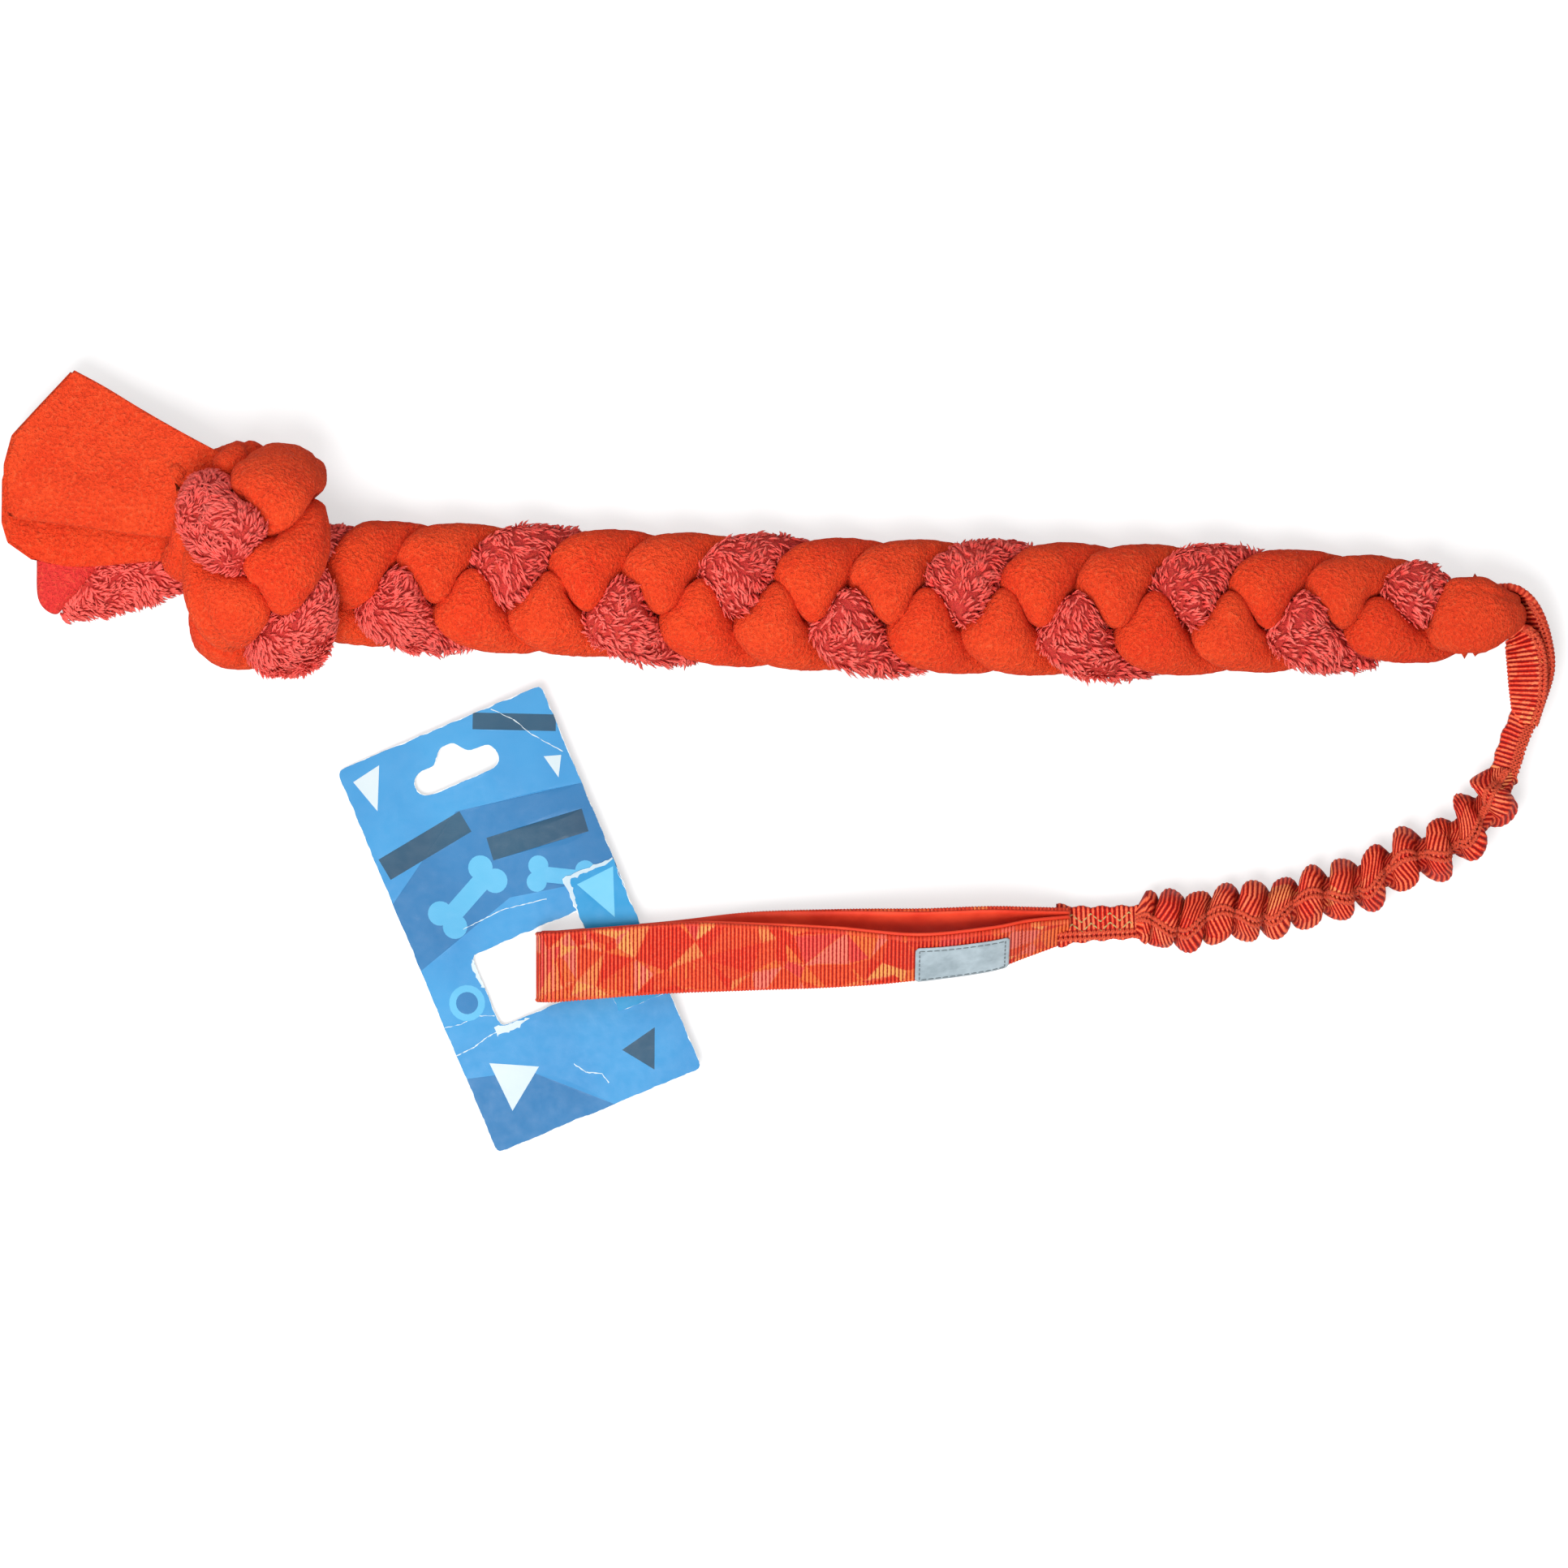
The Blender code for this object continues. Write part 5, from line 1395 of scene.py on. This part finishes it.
def sleeve_surface(start, end, first, last, seam):
    """Fine rings of the ruched sleeve from first to last: rings, ribs, print, painted tuck shade
    and seams.
    """
    sides = 112
    rows = lead_rows(start, end, 0.00022)
    runs, total = rows[:, 3] - start, end - start
    swell = np.clip(np.minimum(runs / 0.010, (total - runs) / 0.004), 0.12, 1)
    turns = ruffle_phase(runs, total)
    pitch = np.gradient(runs, turns)
    lift = fold_height(turns, pitch) * RUFFLE_HEIGHT * swell
    arc = np.concatenate([[0], np.cumsum(np.hypot(np.diff(lift), np.diff(runs)))])
    keep = (rows[:, 3] >= first - 1e-9) & (rows[:, 3] <= last + 1e-9)
    angles = (-math.pi / 2 + 2 * math.pi * np.arange(sides) / sides)[None]
    upward, sideways = frames(rows[:, :3], np.tile((0, 0, 1.0), (len(rows), 1)))
    pitch, swell = pitch[:, None], swell[:, None]
    # The folds and the ribs lag on each side of the seam, and meet there
    meet = seam + 0.35 * np.sin(turns * 2.1)
    away = np.abs((angles - meet[:, None] + math.pi) % (2 * math.pi) - math.pi)
    wound = turns[:, None] + (angles / (2 * math.pi) + 0.07 * np.minimum(away, 1.2))
    crest = fold_height(wound, pitch)
    wobble = 1.02 + 0.26 * np.sin(wound * 2.3 + 1.7 * np.cos(angles))
    wobble = wobble + 0.10 * np.sin(5 * angles + 3 * turns[:, None])
    phase = np.interp(wound, turns, arc) / RIB_PITCH + 2.4 * np.minimum(away, 0.9)
    ribs = 1 - (2 * np.abs((phase % 1) - 0.5)) ** 2
    loose = np.clip((pitch - 0.0098) / 0.0035, 0, 1)
    radii = SLEEVE_CORE_DIAMETER / 2 - 0.0002 - 0.0012 * loose
    radii = radii + (RUFFLE_HEIGHT + 0.0014 * loose) * swell * crest * wobble + 0.0004 * ribs
    ends = np.clip(np.minimum(runs, total - runs) / 0.004, 0, 1)
    radii = radii * (0.72 + 0.28 * ends * (2 - ends))[:, None]
    radii = radii - 0.0006 * np.exp(-((away / 0.10) ** 2))
    rings = rows[:, None, :3] + (radii * np.cos(angles))[:, :, None] * sideways[:, None]
    rings = rings + (radii * np.sin(angles))[:, :, None] * upward[:, None]
    rings[:, :, 2] = np.maximum(rings[:, :, 2], FLOOR_GAP)
    seams = []
    along = unit(np.gradient(rows[:, :3], axis=0))
    at = np.arange(len(rows))
    for offset in (-0.12, 0.12):
        spot = (meet + offset + math.pi / 2) / (2 * math.pi) * sides
        index = np.clip(spot.astype(int), 0, sides - 2)
        share = (spot - index)[:, None]
        line = rings[at, index] * (1 - share) + rings[at, index + 1] * share
        out = unit(line - rows[:, :3])
        seams.append((line[keep], out[keep], np.cross(out, along)[keep]))
    values = shards(phase * RIB_PITCH, angles * 0.008 * np.ones(phase.shape), 0.009, 21)
    # Painted shade in the tucks between the folds, deepest where the crest is low
    tuck = np.clip(1.15 - 1.5 * crest, 0, 1) * swell * np.clip(1.6 - pitch / 0.011, 0.35, 1)
    return rings[keep], phase[keep], values[keep], tuck[keep], seams


def bungee(look, cord_look, rubber):
    """The sleeve and its elastic, in two parts split along the lead."""
    start, end = FORE_NECK_LENGTH, lead_line()[-1, 3] - AFT_NECK_LENGTH
    split = start + SLEEVE_SPLIT
    line = lead_rows(start, end, 0.005)[:, :3]
    turn_end = lead_rows(start + 0.030, end, 0.005)[0, :3]
    spans = (
        (start, split, ("tug_link", "bungee", line[0], turn_end)),
        (split, end, ("bungee", "aft_link", turn_end, line[-1])),
    )
    for k, (first, last, body) in enumerate(spans):
        rings, phases, values, tuck, seams = sleeve_surface(start, end, first, last, SLEEVE_SEAM)
        sleeve = tube(f"sleeve_{k + 1}", rings, look, phase=phases, shard=values, tuck=tuck)
        placed(sleeve, body, "bungee_sleeve", "ruched_grosgrain")
        for j, seam in enumerate(seams):
            cord = corded(f"sleeve_{k + 1}_cord_{j + 1}", *seam, cord_look, 0.00052)
            placed(cord, body, None, "ruched_grosgrain")
        middle = lead_rows(first, last, 0.0015)[:, :3]
        core = thread(f"elastic_{k + 1}", middle, ELASTIC_DIAMETER / 2, rubber, 20)
        placed(core, body, "elastic_core", "elastic")


def hand(web, smooth, patch):
    """The hand loop's strap, its lining and its label."""
    stations = strap_stations(0, STRAP_WIDTH, 0, 0.0003)
    bend = int(np.argmin([station[0][0] for station in stations]))
    sizes = HAND_RIB_PITCH, 0.0002, 0.009
    strap = ribbed_strap("hand_strap", stations, STRAP_THICKNESS, web, *sizes, 2, bend)
    placed(strap, "handle", "handle_webbing", "orange_webbing")
    inset = (STRAP_THICKNESS + LINING_THICKNESS) / 2 + TOUCH_GAP
    stations = strap_stations(inset, LINING_WIDTH, LINING_LIP, 0.0012)
    lining = flat_strap("hand_lining", stations, LINING_THICKNESS, smooth)
    placed(lining, "handle", "handle_lining", "smooth_lining")
    half = LABEL_LENGTH / 2 / HAND_LENGTH
    lift = (STRAP_THICKNESS + LABEL_THICKNESS) / 2 + TOUCH_GAP
    rows = []
    for share in np.linspace(LABEL_MIDDLE - half, LABEL_MIDDLE + half, 60):
        place, across, face = hand_station(share)
        middle = place + face * (strap_reach(hand_row(share)[2]) + lift) - across * LABEL_DROP
        to_end = (half - abs(share - LABEL_MIDDLE)) * HAND_LENGTH
        rounding = max(0, 1 - to_end / SEWN_EDGE) ** 2
        rows.append((middle, across, face, LABEL_WIDTH / 2 - SEWN_EDGE * rounding))
    label = flat_strap("hand_label", rows, LABEL_THICKNESS, patch)
    placed(label, "handle", "handle_label", "grey_label")


# The card


def sides_of(polygon):
    """A polygon's sides, each as its two ends."""
    return zip(polygon, polygon[1:] + polygon[:1])


def inside(point, polygon):
    """Whether a place is inside a polygon."""
    x, y = point
    found = False
    for (ax, ay), (bx, by) in sides_of(polygon):
        if (ay > y) != (by > y) and x < ax + (y - ay) / (by - ay) * (bx - ax):
            found = not found
    return found


def ragged(polygon, step, depth, seed):
    """A torn outline: the polygon's sides cut into steps that wander by up to a depth."""
    rng = np.random.default_rng(seed)
    found = []
    for (ax, ay), (bx, by) in sides_of(polygon):
        count = max(1, round(math.hypot(bx - ax, by - ay) / step))
        for t in np.arange(count) / count:
            x = ax + (bx - ax) * t + rng.uniform(-depth, depth)
            found.append((x, ay + (by - ay) * t + rng.uniform(-depth, depth)))
    return found


def slot_shape():
    """The hanging slot: round ends, and a smooth bump over its middle."""
    radius, reach = SLOT_HEIGHT / 2, (SLOT_WIDTH - SLOT_HEIGHT) / 2
    turns = np.linspace(-math.pi / 2, math.pi / 2, 11)
    found = [(reach + radius * math.cos(t), radius * math.sin(t)) for t in turns]
    for x in np.linspace(reach, -reach, 25)[1:-1]:
        found.append((x, radius + SLOT_RISE * math.exp(-((x / 0.0052) ** 4))))
    found += [(-reach - radius * math.cos(t), -radius * math.sin(t)) for t in turns]
    return [(x + CARD_WIDTH / 2, y - SLOT_MARGIN) for x, y in found]


def inset(loop, depth):
    """An outline moved inward by a small depth, or outward where it is negative."""
    points = np.array(loop)
    follow = np.roll(points, -1, 0)
    turned = np.sum(points[:, 0] * follow[:, 1] - follow[:, 0] * points[:, 1])
    steps = follow - points
    lengths = np.maximum(np.linalg.norm(steps, axis=1), 1e-9)[:, None]
    normal = np.column_stack([-steps[:, 1], steps[:, 0]]) / lengths
    normal = (normal + np.roll(normal, 1, 0)) * np.sign(turned)
    normal /= np.maximum(np.linalg.norm(normal, axis=1), 1e-9)[:, None]
    return [tuple(point) for point in points + normal * depth]


def round_shape(u, v, radius):
    turns = 2 * math.pi * np.arange(20) / 20
    return [(u + radius * math.cos(t), v + radius * math.sin(t)) for t in turns]


def turned_spots(u, v, long, wide, turn, ends):
    """Places about a middle: shares of half a length along a turned bar and of its width."""
    along = Vector((math.cos(turn), math.sin(turn)))
    across = Vector((-math.sin(turn), math.cos(turn)))
    spots = (Vector((u, v)) + along * (a * long / 2) + across * (b * wide) for a, b in ends)
    return [tuple(spot) for spot in spots]


def bar_shape(u, v, long, wide, turn):
    return turned_spots(u, v, long, wide / 2, turn, ((-1, -1), (1, -1), (1, 1), (-1, 1)))


def bone_shapes(u, v, long, wide, turn):
    """A bone: a bar with two knobs at each end."""
    ends = ((-1, -1), (-1, 1), (1, -1), (1, 1))
    middles = turned_spots(u, v, long, wide * 0.42, turn, ends)
    knobs = [round_shape(*middle, wide * 0.52) for middle in middles]
    return [bar_shape(u, v, long, wide * 0.8, turn), *knobs]


def printed_card(name, outline, holes, prints, looks, lift, warp):
    """A flat piece of card in the card's own frame, with each print in its own look."""
    loops = [outline, *holes, inset(outline, 0.0005), *(inset(hole, -0.0005) for hole in holes)]
    loops += [polygon for _, polygon in prints]
    spots, edges = [], []
    for loop in loops:
        first = len(spots)
        spots += [Vector(spot) for spot in loop]
        edges += [(first + i, first + (i + 1) % len(loop)) for i in range(len(loop))]
    us, vs = zip(*outline)
    for u in np.arange(min(us), max(us), PRINT_CELL):
        for v in np.arange(min(vs), max(vs), PRINT_CELL):
            spots.append(Vector((u, v)))
    points, _, faces, *_ = delaunay_2d_cdt(spots, edges, [], 0, 1e-7)
    kept, tints = [], []
    for face in faces:
        middle = tuple(sum((points[i] for i in face), Vector((0, 0))) / 3)
        if inside(middle, outline) and not any(inside(middle, hole) for hole in holes):
            kept.append(tuple(face))
            covers = [tint for tint, polygon in prints if inside(middle, polygon)]
            tints.append(covers[-1] if covers else 0)
    used = sorted({i for face in kept for i in face})
    at = {i: k for k, i in enumerate(used)}
    kept = [tuple(at[i] for i in face) for face in kept]
    flat = np.array([(*points[i], 0.0) for i in used])
    flat[:, 2] = lift + lumps(flat, 0.035, 5) * warp
    count = len(flat)
    sides = {side for face in kept for side in sides_of(face)}
    rim = [(a, b) for face in kept for a, b in sides_of(face) if (b, a) not in sides]
    faces = [tuple(i + count for i in face) for face in kept]
    faces += [face[::-1] for face in kept]
    faces += [(a + count, a, b, b + count) for a, b in rim]
    tints += [0] * (len(kept) + len(rim))
    borders = np.zeros(count)
    borders[[i for side in rim for i in side]] = 1
    points = np.vstack([flat, flat + (0, 0, CARD_THICKNESS)])
    piece = mesh_piece(name, points, faces, *looks, smooth=False, border=np.tile(borders, 2))
    piece.data.polygons.foreach_set("material_index", tints)
    piece.data.transform(card_frame())
    return piece


# Looks of the card and of its tongue, in the order that the prints name them by
CARD_LOOKS = (
    ("blue_print", (60, 146, 200), (50, 132, 188)),
    ("white_print", (204, 216, 220), (190, 206, 212)),
    ("dark_print", (34, 78, 104), (28, 66, 92)),
    ("light_print", (92, 176, 214), (78, 162, 204)),
    ("middle_print", (42, 116, 170), (36, 106, 158)),
)
TONGUE_LOOKS = (
    ("light_blue_print", (40, 150, 204), (28, 136, 190)),
    ("torn_print", (206, 218, 224), (180, 200, 210)),
    ("deep_print", (36, 96, 140), (30, 84, 126)),
    ("pale_print", (120, 196, 224), (104, 184, 216)),
)
WHITE, DARK, LIGHT, MIDDLE = 1, 2, 3, 4
FIELD = (
    (0.0, -0.052),
    (0.034, -0.030),
    (0.080, -0.038),
    (0.080, -0.074),
    (0.040, -0.066),
    (0.0, -0.078),
)
FOOT_FIELD = ((0.0, -0.149), (0.0, -0.120), (0.022, -0.126), (0.046, -0.149))
WINDOW_TEAR = (
    (0.0170, -0.1065),
    (0.0235, -0.1080),
    (0.0300, -0.1085),
    (0.0240, -0.1105),
    (0.0160, -0.1100),
)
SIDE_TEAR = ((0.0175, -0.0830), (0.0192, -0.0810), (0.0192, -0.0930), (0.0180, -0.0920))
CARD_CREASES = (
    ((0.0, -0.1000), (0.006, -0.1012), (0.012, -0.1004), (0.0185, -0.1030)),
    ((0.0, -0.1110), (0.007, -0.1106), (0.013, -0.1090), (0.0190, -0.1085)),
    ((0.060, -0.0010), (0.066, -0.0075), (0.070, -0.0150), (0.078, -0.0250)),
    ((0.038, -0.1300), (0.041, -0.1345), (0.046, -0.1370), (0.047, -0.1410)),
    ((0.020, -0.0700), (0.036, -0.0690), (0.052, -0.0715)),
)


def card():
    """The retail card and its tongue, with a plain print of shapes, and torn at its window."""
    looks = [card_look(*colours) for colours in CARD_LOOKS]
    prints = [
        (MIDDLE, FIELD),
        (MIDDLE, FOOT_FIELD),
        (DARK, bar_shape(0.019, -0.037, 0.034, 0.0085, 0.14)),
        (DARK, bar_shape(0.058, -0.049, 0.036, 0.0085, -0.10)),
        (DARK, bar_shape(0.066, -0.0085, 0.030, 0.0060, -0.42)),
        (DARK, [(0.056, -0.132), (0.070, -0.129), (0.064, -0.143)]),
        (WHITE, [(0.004, -0.006), (0.015, -0.004), (0.008, -0.019)]),
        (WHITE, [(0.010, -0.118), (0.026, -0.126), (0.011, -0.137)]),
        (WHITE, [(0.071, -0.024), (0.077, -0.026), (0.073, -0.033)]),
        (WHITE, ragged(WINDOW_TEAR, TEAR_STEP, 0.0005, 3)),
        (WHITE, ragged(SIDE_TEAR, TEAR_STEP, 0.0004, 5)),
    ]
    prints += [(LIGHT, shape) for shape in bone_shapes(0.026, -0.060, 0.022, 0.0085, 0.45)]
    prints += [(LIGHT, shape) for shape in bone_shapes(0.060, -0.066, 0.017, 0.0070, -0.5)]
    for k, line in enumerate(CARD_CREASES):
        for (ax, ay), (bx, by) in zip(line, line[1:]):
            turn, long = math.atan2(by - ay, bx - ax), math.hypot(bx - ax, by - ay)
            wide = 0.00022 + 0.00010 * (k % 2)
            strip = bar_shape((ax + bx) / 2, (ay + by) / 2, long, wide, turn)
            prints.append((WHITE, ragged(strip, TEAR_STEP, 0.00016, 20 + k)))
    prints += [
        (LIGHT, round_shape(0.011, -0.095, 0.0065)),
        (MIDDLE, round_shape(0.011, -0.095, 0.0040)),
    ]
    outline = ragged([tuple(spot) for spot in card_outline()], 0.0030, 0.00012, 4)
    sheet = printed_card("printed_card", outline, [slot_shape()], prints, looks, 0.0, 0.0009)
    placed(sheet, "card", "hang_card", "blue_card")
    left, top = CARD_WIDTH - TONGUE_WIDTH - TOUCH_GAP, TONGUE_LAP - WINDOW_TOP
    right, foot = left + TONGUE_WIDTH, top - TONGUE_LENGTH
    outline = ragged([(left, foot), (right, foot), (right, top), (left, top)], 0.0015, 0.00035, 8)
    torn = [
        (left - 0.001, top - 0.012),
        (left + 0.0012, top - 0.011),
        (left + 0.0022, top - 0.0016),
        (right, top - 0.0010),
        (right, top + 0.001),
        (left - 0.001, top + 0.001),
    ]
    lit = [(left + 0.004, top - 0.004), (right - 0.001, top - 0.003), (left + 0.012, top - 0.020)]
    prints = [(WHITE, ragged(torn, 0.0011, 0.0005, 2)), (LIGHT, lit)]
    looks = [card_look(*colours) for colours in TONGUE_LOOKS]
    lift = CARD_THICKNESS + TOUCH_GAP
    tongue = printed_card("printed_tongue", outline, [], prints, looks, lift, 0.0004)
    placed(tongue, "card", "card_tongue", "light_blue_card")


# Stitches


def stitches(name, line, length, gap, radius, look, body, slot):
    """A row of sewn stitches along a line of points, each in seven rings of six sides."""
    line = np.asarray(line, float)
    runs = run_lengths(line)
    points, faces = [], []
    for start in np.arange(0, runs[-1] - length / 2, length + gap):
        spots = np.linspace(start, min(start + length, runs[-1]), 7)
        middle = np.column_stack([np.interp(spots, runs, column) for column in line.T])
        upward, sideways = frames(middle, np.tile((0.02, 0.01, 1.0), (len(middle), 1)))
        sunk = -radius * 1.2 * np.abs(np.linspace(-1, 1, 7)) ** 3
        first = len(points)
        for place, rise, side, low in zip(middle, upward, sideways, sunk):
            for turn in 2 * math.pi * np.arange(6) / 6:
                reach = side * radius * math.cos(turn)
                points.append(place + rise * (low + radius * math.sin(turn)) + reach)
        faces += [[first + i for i in face] for face in grid_faces(7, 6)]
        faces.append([first + k for k in range(5, -1, -1)])
        faces.append([first + 36 + k for k in range(6)])
    placed(mesh_piece(name, points, faces, look), body, None, slot)


def upper_strap_point(share, across, lift):
    """A place above the hand loop's upper strap: share along, metres across and above it."""
    place, width, face = hand_station(share)
    reach = strap_reach(hand_row(share)[2]) + STRAP_THICKNESS / 2 + lift
    return place + face * reach + width * across


def hand_stitches(pale, bright):
    """The label's border and the bars that close the loop."""
    half = LABEL_LENGTH / 2 / HAND_LENGTH - SEWN_EDGE / HAND_LENGTH
    low, high = LABEL_MIDDLE - half, LABEL_MIDDLE + half
    side = LABEL_WIDTH / 2 - 0.0014
    lift = LABEL_THICKNESS + TOUCH_GAP + 0.0001
    corners = [(low, side), (high, side), (high, -side), (low, -side)]
    for k, ((a, v), (c, w)) in enumerate(sides_of(corners)):
        line = [
            upper_strap_point(a + (c - a) * t, v + (w - v) * t - LABEL_DROP, lift)
            for t in np.linspace(0, 1, 30)
        ]
        sewn = f"label_stitch_{k + 1}", line, 0.0019, 0.0007, 0.00022
        stitches(*sewn, pale, "handle", "grey_label")
    for k, share in enumerate((0.905, 0.913, 0.921)):
        wide = STRAP_WIDTH / 2 * hand_row(share)[3] - SEWN_EDGE
        line = [upper_strap_point(share, v, 0.0002) for v in np.linspace(-wide, wide, 30)]
        sewn = f"bar_stitch_{k + 1}", line, 0.0016, 0.0004, 0.00026
        stitches(*sewn, bright, "handle", "orange_webbing")


# Stage, lights and camera

FLOOR_REACH = 3
FLOOR_GLOW = 0.55
FLOOR_SHOWN = (196, 196, 196)
WORLD_STRENGTH = 0.54
VIEW_HEIGHT = 3.0
VIEW_DISTANCE = 2.99
VIEW_WIDTH = 0.5616
SENSOR = 36


def added(name, data):
    made = bpy.data.objects.new(name, data)
    bpy.context.scene.collection.objects.link(made)
    return made


def shown_rays(tree):
    """1 for rays that show the background: to the camera, in gloss and through glass."""
    path = tree.nodes.new("ShaderNodeLightPath").outputs
    shown = path["Is Camera Ray"]
    for other in ("Is Glossy Ray", "Is Transmission Ray"):
        either = tree.nodes.new("ShaderNodeMath")
        either.operation = "MAXIMUM"
        tree.links.new(shown, either.inputs[0])
        tree.links.new(path[other], either.inputs[1])
        shown = either.outputs[0]
    return shown


def stage():
    """A paper floor, paler and glowing where it shows, which keeps its own light off the toy."""
    mesh = bpy.data.meshes.new("floor")
    far = FLOOR_REACH
    corners = [(-far, -far, 0), (far, -far, 0), (far, far, 0), (-far, far, 0)]
    mesh.from_pydata(corners, [], [(0, 1, 2, 3)])
    floor = added("floor", mesh)
    surface = Surface("floor", 0.9, specular=0.0)
    surface.shader.inputs["Emission Color"].default_value = (1, 1, 1, 1)
    seen = shown_rays(surface.tree)
    glow = surface.maths("MULTIPLY", seen, FLOOR_GLOW)
    surface.tree.links.new(glow, surface.shader.inputs["Emission Strength"])
    paper = surface.mixed((146, 146, 146), (152, 152, 152), surface.noise(0.5))
    mesh.materials.append(surface.finish(surface.mixed(paper, FLOOR_SHOWN, seen)))


def light(name, place, size, power):
    """A square light that looks at the toy."""
    lamp = bpy.data.lights.new(name, "AREA")
    lamp.size = size
    lamp.energy = power
    made = added(name, lamp)
    made.location = place
    made.rotation_euler = (-Vector(place)).to_track_quat("-Z", "Y").to_euler()


def studio():
    """A white world, dimmer as a light than as a background, two lights and the camera."""
    world = bpy.data.worlds.new("studio")
    world.use_nodes = True
    tree = world.node_tree
    sky = tree.nodes["Background"].inputs
    sky["Color"].default_value = (1, 1, 1, 1)
    strength = tree.nodes.new("ShaderNodeMapRange")
    strength.inputs["To Min"].default_value = WORLD_STRENGTH
    tree.links.new(shown_rays(tree), strength.inputs["Value"])
    tree.links.new(strength.outputs["Result"], sky["Strength"])
    bpy.context.scene.world = world
    light("key", (-0.40, -0.80, 1.75), 1.1, 34)
    light("fill", (-1.2, 0.9, 1.6), 1.4, 8)
    camera = bpy.data.cameras.new("camera")
    camera.lens = SENSOR * VIEW_DISTANCE / VIEW_WIDTH
    view = added("camera", camera)
    view.location = (-0.0012, -0.0080, VIEW_HEIGHT)
    bpy.context.scene.camera = view
    bpy.context.scene.view_settings.view_transform = "Standard"


def necks(looks):
    """The folded necks before and behind the bungee."""
    total = lead_line()[-1, 3]
    aft = total - AFT_NECK_LENGTH
    bend = lead_rows(aft, total, 0.005)[:, :3]
    fore = "fore_neck_folds", 0, FORE_NECK_LENGTH, FORE_NECK_WIDTH
    neck_piece(*fore, looks, "tug_link", "fore_neck", (0.35, 0.62, 0.9), (0.001, 0.002))
    body = ("aft_link", "handle", bend[0], bend[-1])
    behind = "aft_neck_folds", aft, total, AFT_NECK_WIDTH
    neck_piece(*behind, looks, body, "aft_neck", (0.5, 0.85), (0.002, 0.005), 0.35)


def main():
    stage()
    studio()
    # The second colour is the painted shade between the ribs and the third a painted glint on them
    web = ("printed_webbing", (140, 12, 6), (255, 170, 120), HAND_PRINT, (0.09, 0.26), 0.35)
    folds = ("folded_webbing", (138, 4, 2), (255, 150, 104), LEAD_PRINT, (0.17, 0.30), 0.55)
    web, folded = webbing_look(*web), webbing_look(*folds)
    cord_look = thread_look("webbing_cord", (244, 104, 66), (160, 20, 10))
    strands()
    loop_piece(folded, cord_look)
    necks((folded, cord_look))
    bungee(folded, cord_look, thread_look("elastic_rubber", (214, 206, 180), (186, 176, 150)))
    hand(web, lining_look(), label_look())
    pale = thread_look("label_thread", (128, 138, 142), (84, 92, 96))
    hand_stitches(pale, thread_look("bar_thread", (206, 66, 34), (130, 24, 12)))
    card()


main()
